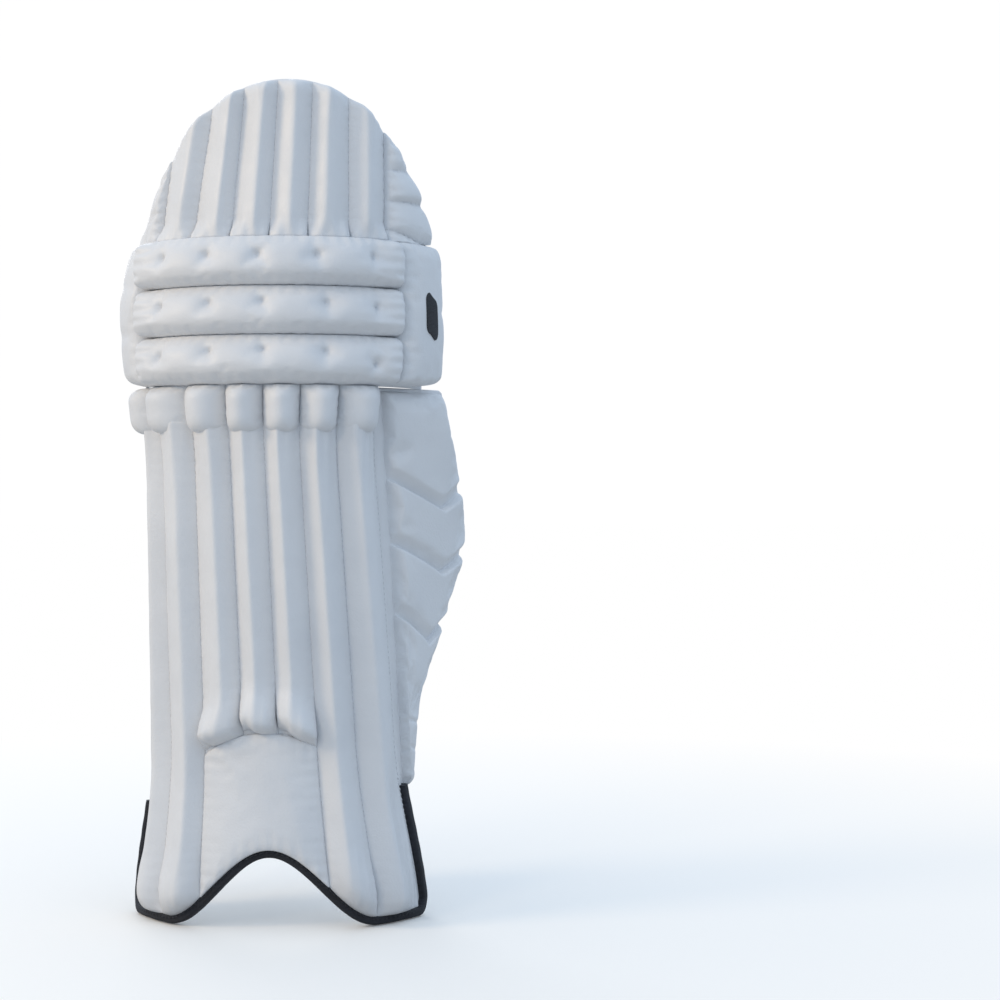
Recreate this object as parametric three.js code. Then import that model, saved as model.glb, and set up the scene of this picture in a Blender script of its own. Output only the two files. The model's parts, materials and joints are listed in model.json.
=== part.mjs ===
// A cricket batting leg pad with its calf wing on the +X side, in millimetres.
// +X is the wing side, -Y is the front that meets the ball, +Z runs up the leg.
// The pad is laid out round the leg's own axis: every piece is placed by an angle round that axis
// (0 at the front, growing towards the wing), a height, and a distance outside the foam board.
// The whole group is then moved so that the origin is the middle of the bounding box, on the floor.
import * as THREE from "three";

const { degToRad, radToDeg, lerp, clamp, smoothstep } = THREE.MathUtils;

// ---- Heights, each measured upwards ----
const SHIN_TOP = 440; // floor to the seam under the knee roll
const KNEE_HEIGHT = 118; // the three knee rolls together
const HAT_HEIGHT = 128; // knee block to the crown of the top hat
const CAP_HEIGHT = 37; // the row of short bolsters under the knee roll
const INSTEP_TOP = 158; // floor to the crown of the instep panel
const INSTEP_DROP = 16; // how far the instep panel's top corners sit below its crown
const ARCH_HEIGHT = 58; // the ankle arch, above the lobes that stand on the floor

// ---- Section of the foam board's outer face: half an ellipse round the leg axis ----
const BOTTOM_HALF_WIDTH = 121;
const SHIN_HALF_WIDTH = 106;
const KNEE_HALF_WIDTH = 117;
const CROWN_HALF_WIDTH = 110;
const BOTTOM_DEPTH = 98; // leg axis to the front, where the pad flares over the shoe
const SHIN_DEPTH = 86;
const KNEE_DEPTH = 88;
const CROWN_DEPTH = 80;
const FLARE_HEIGHT = 150; // height at which the bottom flare has died out

// ---- Dome of the top hat ----
const DOME_FALL = 22; // how far its edge has fallen ...
const DOME_REACH = 34; // ... this many degrees from the crown
const DOME_POWER = 2.15; // how much faster it falls further out
const HAT_BACK_HEIGHT = 14; // the foam's lowest edge, at the back of the top hat

// ---- Layers ----
const GAP = 0.8; // clearance between neighbouring pieces
const FOAM = 8;
const LINING = 2;
const BINDING = 5; // how far the binding stands out from the foam's edge
const SEAM_LIP = 2; // thickness of a padded piece along its stitched edges
const BINDING_ROWS = 2; // how many of the shin foam's rows of facets the binding climbs on each side
const PANEL_GAP = 10; // the inside panel's foot, above the end of the binding

// ---- Padded pieces: how far each stands out from the foam board ----
const CHANNEL_RISE = 14;
const CHANNEL_END_RISE = 19; // the swollen foot of each channel
const CANE_THICKNESS = 4;
const CAP_RISE = 22;
const INSTEP_RISE = 8;
const ROLL_RISE = 29;
const KNEE_SIDE_RISE = 19;
const HAT_RISE = 12;
const HAT_SIDE_RISE = 15;
const SHIN_BOLSTER_RISE = 13;
const KNEE_CUSHION_RISE = 15;
const END_SHARE = 0.55; // how high a padded piece still is at its ends, as a share of its middle
const ROLL_END_SHARE = 0.7;
const CHANNEL_FOOT_SHARE = 0.6;
const CHANNEL_END = 0.1; // share of a channel's length that its swollen foot takes
const GROOVE = [1 / 3, 2 / 3]; // the cane's share of a channel's width
const CANE_MARGIN = 0.04; // free on both sides of the cane, as a share of the channel's width
const KNEE_CUSHION_MARGIN = 18; // between the cushion and the knee block's seams

// ---- How boxy a padded section is: 2 is half an ellipse, and more is flatter with steeper sides ----
const ROUND = 2.4;
const PILLOW = 4;
const FLAT = 8;

// ---- Angles round the leg, in degrees ----
const SHIN_EDGES_TOP = [-80, -61, -35, -16.5, -1, 14, 30, 49]; // seams between channels, at the caps
const SHIN_EDGES_FOOT = [-72, -46, -25.5, -6, 9, 26.5, 46, 73]; // the same seams at the floor
const HAT_EDGES_BASE = [-50, -30.5, -13.5, 1.5, 16.2, 33, 50];
const HAT_EDGES_CROWN = [-42, -23, -9.5, 4.5, 19, 35, 54];
const FOAM_MARGIN = 5; // how far the foam board passes the outer channels
const ROLL_LEFT = -55;
const ROLL_RIGHT = 53;
const KNEE_BACK = 87; // where the knee's side panels end, on both sides
const HAT_BACK_LEFT = -72;
const HAT_BACK_RIGHT = 84;
const HAT_CENTRE = 9; // the crown of the top hat leans towards the wing side
const ARCH_CENTRE = 2;
const ARCH_HALF_ANGLE = 44;
const CORNER_START = 26; // how far past the arch the lobes stay flat on the floor
const CORNER_RISE = 22; // height of each lobe's rounded outer corner
const SIDE_PANEL_BACK = -116; // where the inside panel ends
const SEAM_ANGLE = 0.35; // half of the gap between neighbouring channels
const HAT_SIDE_CROWN = 4; // width of the top hat's inside panel at the crown
const SHIN_BOLSTER_CENTRE = 21;
const SHIN_BOLSTER_HALF_ANGLE = 8;
const KNEE_CUSHION_HALF_ANGLE = 46;
const SHORT_CHANNELS = [2, 3, 4]; // these stop at the instep panel
const ROLLS = 3;

// ---- Calf wing: widths outside the hinge line, from its foot to its top ----
const WING_FOOT = 106;
const WING_TOP_GAP = 4;
const WING_WIDTHS = [13, 30, 72, 106, 94, 76];
const WING_THICKNESS = 12;
const WING_LINING = 2;
const WING_CURL = degToRad(0.13); // how much the wing turns round the calf, per millimetre
const WING_CLOSE = 24; // how far it closes round the calf, in degrees
const WING_HINGE_GAP = 2; // more than the wing's own corner needs to close

// ---- Flex of the pad at the knee ----
const KNEE_FLEX = 8; // degrees at each of the two seams
const FLEX_AXIS_Y = -30; // the two seams bend about lines this far from the leg axis
const FLEX_MARGIN = 1.05; // how much more room a seam has than it needs

// ---- Straps ----
const STRAP_HEIGHTS = { ankle: 104, calf: 246, knee: 372 };
const STRAP_WIDTHS = { ankle: 38, calf: 38, knee: 50 };
const STRAP_THICKNESS = 2.4;
const STRAP_CLEARANCE = 2.4; // strap to the lining that it is sewn to
const STRAP_TURN = [45, 100]; // the angles between which a strap leaves the lining for its loop
const SEWN_LENGTH = 18; // how far the strap reaches inside the lining's edge, in degrees
const LOOP_INSET = 24; // how far the straps' loop behind the leg lies inside the shin's half width
const LOOP_BACK = 80; // leg axis to the back of the loop
const RING_BAR = 3.6;
const RING_OPENING = 11; // the ring's window, along the strap
const RING_ANGLE = 232; // the ring's rear bar
const FOLD_GAP = 0.5; // between the ring's bar and the strap folded round it
const FOLD_STEPS = 6;
const STRAP_EASE = 18; // degrees over which the strap closes in on the ring
const BAND_STEPS = 30;
const TAIL_ANGLE = 62; // the part that folds back and presses on
const TAIL_STEPS = 12;
const TAB_ANGLES = [-90, -100]; // where the ring's tab is sewn to the inside panel
const PEEL_GAP = 1.2; // between the strap and its tail

// ---- Facets of each solid, round the leg and up it ----
const BOARD_GRID = [26, 12];
const CHANNEL_GRID = [6, 12];
const CANE_GRID = [1, 12];
const CAP_GRID = [6, 4];
const PANEL_GRID = [6, 8];
const INSTEP_GRID = [8, 4];
const BOLSTER_GRID = [4, 8];
const ROLL_GRID = [16, 6];
const KNEE_SIDE_GRID = [6, 6];
const KNEE_BOARD_GRID = [18, 3];
const CUSHION_GRID = [10, 6];
const HAT_GRID = [6, 5];
const HAT_BOARD_GRID = [18, 4];
const WING_GRID = [6, 10];

const COVER = { color: 0xe6e8ec, roughness: 0.45, metalness: 0 };
const LINING_CLOTH = { color: 0xdfe1e4, roughness: 0.9, metalness: 0 };
const FOAM_BOARD = { color: 0xcfd2d6, roughness: 0.95, metalness: 0 };
const CANE = { color: 0xd8b67a, roughness: 0.6, metalness: 0 };
const BLACK_TAPE = { color: 0x15171c, roughness: 0.6, metalness: 0 };
const WEBBING = { color: 0xe4e5e8, roughness: 0.85, metalness: 0 };
const RING_PLASTIC = { color: 0xf0f0f0, roughness: 0.4, metalness: 0 };

// ---- Worked out from the sizes above ----
const KNEE_TOP = SHIN_TOP + KNEE_HEIGHT;
const PAD_TOP = KNEE_TOP + HAT_HEIGHT;
const CAP_BOTTOM = SHIN_TOP - CAP_HEIGHT;
const WING_TOP = SHIN_TOP - WING_TOP_GAP;
const SWELL_START = CAP_BOTTOM - CAP_HEIGHT; // where the section starts to widen towards the knee
const SWELL_END = SHIN_TOP + KNEE_HEIGHT / 2;
const INSIDE = -(FOAM + GAP + LINING); // the lining's inner face
const FOLD_RADIUS = RING_BAR * Math.SQRT1_2 + FOLD_GAP + STRAP_THICKNESS / 2;
const ROLL_HEIGHT = KNEE_HEIGHT / ROLLS;
const CHANNELS = SHIN_EDGES_TOP.length - 1;
const HAT_CHANNELS = HAT_EDGES_BASE.length - 1;

const pad = new THREE.Group();

function addMesh(name, geometry, material) {
  const mesh = new THREE.Mesh(geometry, new THREE.MeshStandardMaterial(material));
  mesh.name = name;
  pad.add(mesh);
  return mesh;
}

// ---- The pad's surface ----

// Smooth value at height z through [height, value] pairs.
function profile(pairs, z) {
  for (let i = 1; i < pairs.length; i++) {
    const [lowZ, low] = pairs[i - 1];
    const [highZ, high] = pairs[i];
    if (z <= highZ) return lerp(low, high, smoothstep(z, lowZ, highZ));
  }
  return pairs.at(-1)[1];
}

// Stations of a size that changes from the foot past the shin and the knee to the crown.
function stations(foot, shin, knee, top) {
  const below = [[0, foot], [FLARE_HEIGHT, shin], [SWELL_START, shin]];
  return [...below, [SWELL_END, knee], [KNEE_TOP, knee], [PAD_TOP, top]];
}
const WIDTH_STATIONS = stations(BOTTOM_HALF_WIDTH, SHIN_HALF_WIDTH, KNEE_HALF_WIDTH, CROWN_HALF_WIDTH);
const DEPTH_STATIONS = stations(BOTTOM_DEPTH, SHIN_DEPTH, KNEE_DEPTH, CROWN_DEPTH);
const halfWidth = (z) => profile(WIDTH_STATIONS, z);
const depth = (z) => profile(DEPTH_STATIONS, z);

// Point at an angle round the leg, a height, and a distance w outside the foam board.
function padPoint(angle, z, w) {
  const t = degToRad(angle);
  return new THREE.Vector3((halfWidth(z) + w) * Math.sin(t), -(depth(z) + w) * Math.cos(t), z);
}

// Millimetres round the pad in one degree, at an angle and height.
function arcPerDegree(angle, z) {
  const t = degToRad(angle);
  return degToRad(Math.hypot(halfWidth(z) * Math.cos(t), depth(z) * Math.sin(t)));
}

// Heading of the foam board's face, in radians from +X, at an angle and height.
function headingAt(angle, z) {
  const t = degToRad(angle);
  return Math.atan2(depth(z) * Math.sin(t), halfWidth(z) * Math.cos(t));
}

// ---- Outlines ----

const shinShare = (z) => clamp(z / CAP_BOTTOM, 0, 1);
const shinEdge = (i, z) => lerp(SHIN_EDGES_FOOT[i], SHIN_EDGES_TOP[i], shinShare(z));
const foamLeft = (z) => shinEdge(0, z) - FOAM_MARGIN;
const foamRight = (z) => shinEdge(CHANNELS, z) + FOAM_MARGIN * (1 - shinShare(z));
const hatShare = (z) => clamp((z - KNEE_TOP) / HAT_HEIGHT, 0, 1);
const hatEdge = (i, z) => lerp(HAT_EDGES_BASE[i], HAT_EDGES_CROWN[i], hatShare(z));

// Bottom edge of the foam board: a cosine arch over the ankle, between two flat lobes with round corners.
function bottomEdge(angle) {
  const fromArch = Math.abs(angle - ARCH_CENTRE);
  if (fromArch < ARCH_HALF_ANGLE) {
    return BINDING + (ARCH_HEIGHT / 2) * (1 + Math.cos(Math.PI * fromArch / ARCH_HALF_ANGLE));
  }
  const side = angle > 0 ? foamRight(0) : -foamLeft(0);
  const start = ARCH_HALF_ANGLE + CORNER_START;
  const share = clamp((fromArch - start) / (side - Math.sign(angle) * ARCH_CENTRE - start), 0, 1);
  return BINDING + CORNER_RISE * (1 - Math.sqrt(1 - share * share));
}

// The instep panel lies between these two seams, under the short channels.
const INSTEP_SEAMS = [SHORT_CHANNELS[0], SHORT_CHANNELS.at(-1) + 1];

function instepTop(angle) {
  const halfAngle = (SHIN_EDGES_FOOT[INSTEP_SEAMS[1]] - SHIN_EDGES_FOOT[INSTEP_SEAMS[0]]) / 2;
  return INSTEP_TOP - INSTEP_DROP * (angle / halfAngle) ** 2;
}

// Top edge of the top hat: a dome that falls away on both sides of its crown.
const domeTop = (angle) => PAD_TOP - DOME_FALL * (Math.abs(angle - HAT_CENTRE) / DOME_REACH) ** DOME_POWER;

// How much room a piece above a flexing seam needs behind the seam's bending line, at depth y.
const flexRoom = (y) => GAP + Math.max(0, y - FLEX_AXIS_Y) * Math.tan(degToRad(KNEE_FLEX)) * FLEX_MARGIN;

// Rounded rise across a padded piece: 0 at both edges and 1 in the middle.
const crown = (s, power = ROUND) => Math.sqrt(Math.max(0, 1 - Math.abs(2 * s - 1) ** power));

// ---- Solids on the pad's surface ----

// Angle and height of a block's point: s goes from 0 to 1 round the leg, and v from 0 to 1 up it.
function placeOn({ left, right, low, high }, s, v) {
  const middle = lerp(left(SHIN_TOP), right(SHIN_TOP), s);
  const roughZ = lerp(low(middle), high(middle), v);
  const angle = lerp(left(roughZ), right(roughZ), s);
  return { angle, z: lerp(low(angle), high(angle), v) };
}

// A closed block bent onto the pad, between its inner and outer faces' distances from the foam board.
// A flexing block's lower edge leaves room for the seam under it to bend.
function surfaceBlock(name, material, [across, up], block) {
  const geometry = new THREE.BoxGeometry(1, 1, 1, across, 1, up);
  const position = geometry.attributes.position;
  for (let i = 0; i < position.count; i++) {
    const s = position.getX(i) + 0.5;
    const inside = position.getY(i) + 0.5;
    const v = position.getZ(i) + 0.5;
    const { angle, z } = placeOn(block, s, v);
    const w = lerp(block.outer(s, v), block.inner(s, v), inside);
    const room = block.flexes ? (1 - v) * flexRoom(padPoint(angle, z, INSIDE).y) : 0;
    const point = padPoint(angle, z + room, w);
    position.setXYZ(i, point.x, point.y, point.z);
  }
  return addMesh(name, geometry, material);
}

const always = (value) => () => value;

// Outer face of a padded piece, seen from the foam board.
function padded(rise, power) {
  return (s, v) => SEAM_LIP + GAP + (rise - SEAM_LIP) * crown(s, power) * lerp(END_SHARE, 1, crown(v, FLAT));
}

// Inner face of a bolster or cushion that stands out from the lining by the given share of its rise.
const cushioned = (rise, share) => INSIDE - GAP - SEAM_LIP - (rise - SEAM_LIP) * share;

// ---- Shin: seven padded channels, each over its own cane ----

// Outer face of a channel, with its swollen foot.
function channelFace(s, v) {
  const rise = lerp(CHANNEL_END_RISE, CHANNEL_RISE, smoothstep(v, 0, CHANNEL_END));
  return SEAM_LIP + GAP + rise * crown(s) * (v > 0 ? 1 : CHANNEL_FOOT_SHARE);
}

// Inner face of a channel, hollowed over its cane.
function channelBack(s) {
  const overCane = s > GROOVE[0] - CANE_MARGIN && s < GROOVE[1] + CANE_MARGIN;
  return GAP + (overCane ? CANE_THICKNESS + 2 * GAP : 0);
}

function addChannel(i) {
  const foot = SHORT_CHANNELS.includes(i) ? (a) => instepTop(a) + GAP : (a) => bottomEdge(a) + SEAM_LIP;
  const across = (share) => (z) => lerp(shinEdge(i, z) + SEAM_ANGLE, shinEdge(i + 1, z) - SEAM_ANGLE, share);
  surfaceBlock(`shin_channel_${i + 1}`, COVER, CHANNEL_GRID, {
    left: across(0),
    right: across(1),
    low: foot,
    high: always(CAP_BOTTOM - GAP),
    inner: channelBack,
    outer: channelFace,
  });
  surfaceBlock(`shin_cane_${i + 1}`, CANE, CANE_GRID, {
    left: across(GROOVE[0] + CANE_MARGIN),
    right: across(GROOVE[1] - CANE_MARGIN),
    low: (a) => foot(a) + CHANNEL_END_RISE,
    high: always(CAP_BOTTOM - CHANNEL_RISE),
    inner: always(2 * GAP),
    outer: always(GAP + CANE_THICKNESS),
  });
  surfaceBlock(`knee_cap_${i + 1}`, COVER, CAP_GRID, {
    left: always(SHIN_EDGES_TOP[i] + SEAM_ANGLE),
    right: always(SHIN_EDGES_TOP[i + 1] - SEAM_ANGLE),
    low: always(CAP_BOTTOM),
    high: always(SHIN_TOP - GAP),
    inner: always(GAP),
    outer: padded(CAP_RISE),
  });
}
for (let i = 0; i < CHANNELS; i++) addChannel(i);

surfaceBlock("instep_panel", COVER, INSTEP_GRID, {
  left: (z) => shinEdge(INSTEP_SEAMS[0], z) + SEAM_ANGLE,
  right: (z) => shinEdge(INSTEP_SEAMS[1], z) - SEAM_ANGLE,
  low: (a) => bottomEdge(a) + SEAM_LIP,
  high: instepTop,
  inner: always(GAP),
  outer: padded(INSTEP_RISE, PILLOW),
});

// A foam board and the lining behind it, which share one outline.
function addBoard(part, grid, outline) {
  surfaceBlock(`${part}_foam`, FOAM_BOARD, grid, { ...outline, inner: always(-FOAM), outer: always(0) });
  const behind = { inner: always(INSIDE), outer: always(-FOAM - GAP) };
  surfaceBlock(`${part}_lining`, LINING_CLOTH, grid, { ...outline, ...behind });
}
const shinBoard = { left: foamLeft, right: foamRight, low: bottomEdge, high: always(SHIN_TOP - GAP) };
addBoard("shin", BOARD_GRID, shinBoard);

const bindingEnd = placeOn(shinBoard, 0, BINDING_ROWS / BOARD_GRID[1]).z;
surfaceBlock("inside_panel", COVER, PANEL_GRID, {
  left: always(SIDE_PANEL_BACK),
  right: (z) => foamLeft(z) - 2 * SEAM_ANGLE,
  low: always(bindingEnd + PANEL_GAP),
  high: always(SHIN_TOP - FOAM),
  inner: always(INSIDE),
  outer: (s) => SEAM_LIP * crown(s),
});

for (const [side, centre] of [["left", -SHIN_BOLSTER_CENTRE], ["right", SHIN_BOLSTER_CENTRE]]) {
  surfaceBlock(`shin_bolster_${side}`, LINING_CLOTH, BOLSTER_GRID, {
    left: always(centre - SHIN_BOLSTER_HALF_ANGLE),
    right: always(centre + SHIN_BOLSTER_HALF_ANGLE),
    low: always(INSTEP_TOP),
    high: always(CAP_BOTTOM),
    inner: (s) => cushioned(SHIN_BOLSTER_RISE, crown(s)),
    outer: always(INSIDE - GAP),
  });
}

// ---- Binding: a tape round the foot, from one side over both lobes and the arch to the other ----

// The foam board's own edge points, as [angle, height], down one side, across the foot and up the other.
function footOutline() {
  const outline = [];
  const add = (s, v) => {
    const { angle, z } = placeOn(shinBoard, s, v);
    outline.push([angle, z]);
  };
  for (let row = BINDING_ROWS; row > 0; row--) add(0, row / BOARD_GRID[1]);
  for (let column = 0; column <= BOARD_GRID[0]; column++) add(column / BOARD_GRID[0], 0);
  for (let row = 1; row <= BINDING_ROWS; row++) add(1, row / BOARD_GRID[1]);
  return outline;
}

function bindingGeometry() {
  const outline = footOutline();
  const geometry = new THREE.BoxGeometry(1, 1, 1, outline.length - 1, 1, 1);
  const position = geometry.attributes.position;
  const directions = outline.map(([angle, z], k) => {
    const [a0, z0] = outline[Math.max(0, k - 1)];
    const [a1, z1] = outline[Math.min(outline.length - 1, k + 1)];
    return new THREE.Vector2((a1 - a0) * arcPerDegree(angle, z), z1 - z0).normalize();
  });
  for (let i = 0; i < position.count; i++) {
    const k = Math.round((position.getX(i) + 0.5) * (outline.length - 1));
    const inside = position.getY(i) + 0.5;
    const inwards = position.getZ(i) + 0.5;
    const [angle, z] = outline[k];
    const out = lerp(BINDING, GAP, inwards); // distance outside the foam's edge
    const w = lerp(SEAM_LIP, INSIDE, inside);
    const along = directions[k];
    const outwards = angle + (along.y * out) / arcPerDegree(angle, z);
    const point = padPoint(outwards, Math.max(0, z - along.x * out), w);
    position.setXYZ(i, point.x, point.y, point.z);
  }
  return geometry;
}
addMesh("bottom_binding", bindingGeometry(), BLACK_TAPE);

// ---- Knee: three rolls, two side panels and their backing ----

// Outer face of a roll, which keeps most of its height at its two ends.
function rollFace(s, v) {
  return SEAM_LIP + GAP + (ROLL_RISE - SEAM_LIP) * crown(v) * lerp(ROLL_END_SHARE, 1, crown(s, FLAT));
}

for (let i = 0; i < ROLLS; i++) {
  const lowest = i === ROLLS - 1;
  surfaceBlock(`knee_roll_${i + 1}`, COVER, ROLL_GRID, {
    left: always(ROLL_LEFT + SEAM_ANGLE),
    right: always(ROLL_RIGHT - SEAM_ANGLE),
    low: always(KNEE_TOP - (i + 1) * ROLL_HEIGHT + (lowest ? 0 : GAP / 2)),
    high: always(KNEE_TOP - i * ROLL_HEIGHT - GAP / 2),
    inner: always(GAP),
    outer: rollFace,
    flexes: lowest,
  });
}
const kneeSides = {
  inside: [-KNEE_BACK, ROLL_LEFT - SEAM_ANGLE],
  wing: [ROLL_RIGHT + SEAM_ANGLE, KNEE_BACK],
};
for (const [side, [left, right]] of Object.entries(kneeSides)) {
  surfaceBlock(`knee_side_panel_${side}`, COVER, KNEE_SIDE_GRID, {
    left: always(left),
    right: always(right),
    low: always(SHIN_TOP),
    high: always(KNEE_TOP - GAP),
    inner: always(GAP),
    outer: padded(KNEE_SIDE_RISE, PILLOW),
    flexes: true,
  });
}
addBoard("knee", KNEE_BOARD_GRID, {
  left: always(-KNEE_BACK),
  right: always(KNEE_BACK),
  low: always(SHIN_TOP),
  high: always(KNEE_TOP - GAP),
  flexes: true,
});
surfaceBlock("knee_cushion", LINING_CLOTH, CUSHION_GRID, {
  left: always(-KNEE_CUSHION_HALF_ANGLE),
  right: always(KNEE_CUSHION_HALF_ANGLE),
  low: always(SHIN_TOP + KNEE_CUSHION_MARGIN),
  high: always(KNEE_TOP - KNEE_CUSHION_MARGIN),
  inner: (s, v) => cushioned(KNEE_CUSHION_RISE, crown(v) * lerp(END_SHARE, 1, crown(s, FLAT))),
  outer: always(INSIDE - GAP),
});

// ---- Top hat: six channels between two side panels ----
const hatTop = (a) => domeTop(a) - SEAM_LIP;
const hatSideTop = (a) => Math.max(hatTop(a), KNEE_TOP + HAT_BACK_HEIGHT - SEAM_LIP);
for (let i = 0; i < HAT_CHANNELS; i++) {
  surfaceBlock(`top_hat_channel_${i + 1}`, COVER, HAT_GRID, {
    left: (z) => hatEdge(i, z) + SEAM_ANGLE,
    right: (z) => hatEdge(i + 1, z) - SEAM_ANGLE,
    low: always(KNEE_TOP),
    high: hatTop,
    inner: always(GAP),
    outer: padded(HAT_RISE),
    flexes: true,
  });
}
const hatSides = {
  inside: {
    left: (z) => lerp(HAT_BACK_LEFT, HAT_EDGES_CROWN[0] - HAT_SIDE_CROWN, hatShare(z)),
    right: (z) => hatEdge(0, z) - SEAM_ANGLE,
  },
  wing: {
    left: (z) => hatEdge(HAT_CHANNELS, z) + SEAM_ANGLE,
    right: always(HAT_BACK_RIGHT),
  },
};
for (const [side, edges] of Object.entries(hatSides)) {
  surfaceBlock(`top_hat_side_${side}`, COVER, HAT_GRID, {
    ...edges,
    low: always(KNEE_TOP),
    high: hatSideTop,
    inner: always(GAP),
    outer: padded(HAT_SIDE_RISE, PILLOW),
    flexes: true,
  });
}
addBoard("top_hat", HAT_BOARD_GRID, {
  left: always(HAT_BACK_LEFT),
  right: always(HAT_BACK_RIGHT),
  low: always(KNEE_TOP),
  high: (a) => Math.max(domeTop(a), KNEE_TOP + HAT_BACK_HEIGHT),
  flexes: true,
});

// ---- Calf wing: a padded flap hinged on the wing-side edge of the shin ----
const wingHinge = [WING_FOOT, WING_TOP].map((z) => padPoint(foamRight(z), z, 0));
const wingTurnRoom = ((FOAM + LINING + WING_THICKNESS) / 2) * Math.tan(degToRad(WING_CLOSE));
const WING_START = wingTurnRoom + WING_HINGE_GAP; // the wing's near edge, outside its hinge line
const wingInside = -WING_THICKNESS / 2;
const wingOutline = new THREE.SplineCurve(WING_WIDTHS.map((width, k) =>
  new THREE.Vector2(width, lerp(WING_FOOT, WING_TOP, k / (WING_WIDTHS.length - 1)))));

// Point of the wing: u outwards from the hinge line, height z, w outside the foam board's line.
function wingPoint(u, z, w) {
  const share = (z - WING_FOOT) / (WING_TOP - WING_FOOT);
  const root = new THREE.Vector3().lerpVectors(...wingHinge, share);
  const heading = headingAt(foamRight(z), z);
  const turned = heading + WING_CURL * u;
  const x = root.x + (Math.sin(turned) - Math.sin(heading)) / WING_CURL + w * Math.sin(turned);
  const y = root.y - (Math.cos(turned) - Math.cos(heading)) / WING_CURL - w * Math.cos(turned);
  return new THREE.Vector3(x, y, z);
}

function wingBlock(name, material, inner, outer) {
  const [across, up] = WING_GRID;
  const geometry = new THREE.BoxGeometry(1, 1, 1, across, 1, up);
  const position = geometry.attributes.position;
  for (let i = 0; i < position.count; i++) {
    const s = position.getX(i) + 0.5;
    const inside = position.getY(i) + 0.5;
    const v = position.getZ(i) + 0.5;
    const u = lerp(WING_START, wingOutline.getPoint(v).x, s);
    const point = wingPoint(u, lerp(WING_FOOT, WING_TOP, v), lerp(outer(s, v), inner, inside));
    position.setXYZ(i, point.x, point.y, point.z);
  }
  addMesh(name, geometry, material);
}

// Outer face of the wing, padded away from its edges.
function wingFace(s, v) {
  return wingInside + SEAM_LIP + (WING_THICKNESS - SEAM_LIP) * crown(s, PILLOW) * crown(v, FLAT);
}
wingBlock("calf_wing", COVER, wingInside, wingFace);
wingBlock("calf_wing_lining", LINING_CLOTH, wingInside - GAP - WING_LINING, always(wingInside - GAP));

// ---- Straps: each is sewn inside the wing-side edge, passes behind the leg and folds back round a ring ----

// Section that a strap is sewn to: the lining's oval where it is narrowest across the strap's width.
function sewnSection(height, width) {
  const edges = [height - width / 2, height + width / 2];
  return { x: Math.min(...edges.map(halfWidth)) + INSIDE, y: Math.min(...edges.map(depth)) + INSIDE };
}

// Point on a section, at an angle round the leg and a distance inside the section.
function sectionPoint(section, angle, inset) {
  const t = degToRad(angle);
  return new THREE.Vector2((section.x - inset) * Math.sin(t), -(section.y - inset) * Math.cos(t));
}

// Strap path seen from above: the section in front, easing into a closer oval behind the leg.
function strapPoint(section, angle, offset = 0) {
  const t = degToRad(angle);
  const ease = smoothstep(Math.abs(angle > 180 ? angle - 360 : angle), ...STRAP_TURN);
  const x = lerp(section.x - STRAP_CLEARANCE, SHIN_HALF_WIDTH - LOOP_INSET, ease);
  const y = lerp(section.y - STRAP_CLEARANCE, LOOP_BACK, ease);
  return new THREE.Vector2((x + offset) * Math.sin(t), -(y + offset) * Math.cos(t));
}

// A flat ribbon of even thickness that stands on edge along a path seen from above.
function addRibbon(name, path, low, width, material) {
  const side = (sign) => path.map((point, k) => {
    const before = path[Math.max(0, k - 1)];
    const after = path[Math.min(path.length - 1, k + 1)];
    const along = after.clone().sub(before).normalize();
    return new THREE.Vector2(-along.y, along.x).multiplyScalar(sign * STRAP_THICKNESS / 2).add(point);
  });
  const shape = new THREE.Shape([...side(-1), ...side(1).reverse()]);
  const ribbon = new THREE.ExtrudeGeometry(shape, { depth: width, bevelEnabled: false });
  addMesh(name, ribbon, material).position.z = low;
}

// Half a turn of strap round a ring's bar, starting on the side that start points to and passing ahead.
function foldRound(bar, start, ahead) {
  return Array.from({ length: FOLD_STEPS + 1 }, (_, k) => {
    const turn = Math.PI * k / FOLD_STEPS;
    const sideways = start.clone().multiplyScalar(FOLD_RADIUS * Math.cos(turn));
    const forwards = ahead.clone().multiplyScalar(FOLD_RADIUS * Math.sin(turn));
    return sideways.add(forwards).add(bar);
  });
}

// Corners of a rectangle centred on the origin, anticlockwise.
function corners(halfWide, halfHigh) {
  return [[-1, -1], [1, -1], [1, 1], [-1, 1]].map(([x, y]) => new THREE.Vector2(x * halfWide, y * halfHigh));
}

function ringGeometry(height) {
  const across = RING_OPENING / 2;
  const up = height / 2;
  const frame = new THREE.Shape(corners(across + RING_BAR, up + RING_BAR));
  frame.holes.push(new THREE.Path(corners(across, up).reverse()));
  const moulding = new THREE.ExtrudeGeometry(frame, { depth: RING_BAR, bevelEnabled: false });
  return moulding.translate(0, 0, -RING_BAR / 2);
}

// How much of the way to the ring the strap and its tail have closed in or opened out, at an angle.
const nearRing = (angle) => smoothstep(angle, RING_ANGLE - STRAP_EASE, RING_ANGLE);

// The strap's own route up to the ring.
function bandPath(section, start) {
  return Array.from({ length: BAND_STEPS }, (_, k) => {
    const angle = lerp(start, RING_ANGLE, k / BAND_STEPS);
    return strapPoint(section, angle, -FOLD_RADIUS * nearRing(angle));
  });
}

// The tail's route back over the strap, from the fold's end.
function tailPath(section, root, ahead) {
  const lying = STRAP_THICKNESS + PEEL_GAP;
  const path = [root.clone().addScaledVector(ahead, -PEEL_GAP)];
  for (let k = 1; k <= TAIL_STEPS; k++) {
    const angle = RING_ANGLE - TAIL_ANGLE * k / TAIL_STEPS;
    path.push(strapPoint(section, angle, lerp(lying, FOLD_RADIUS, nearRing(angle))));
  }
  return path;
}

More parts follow.
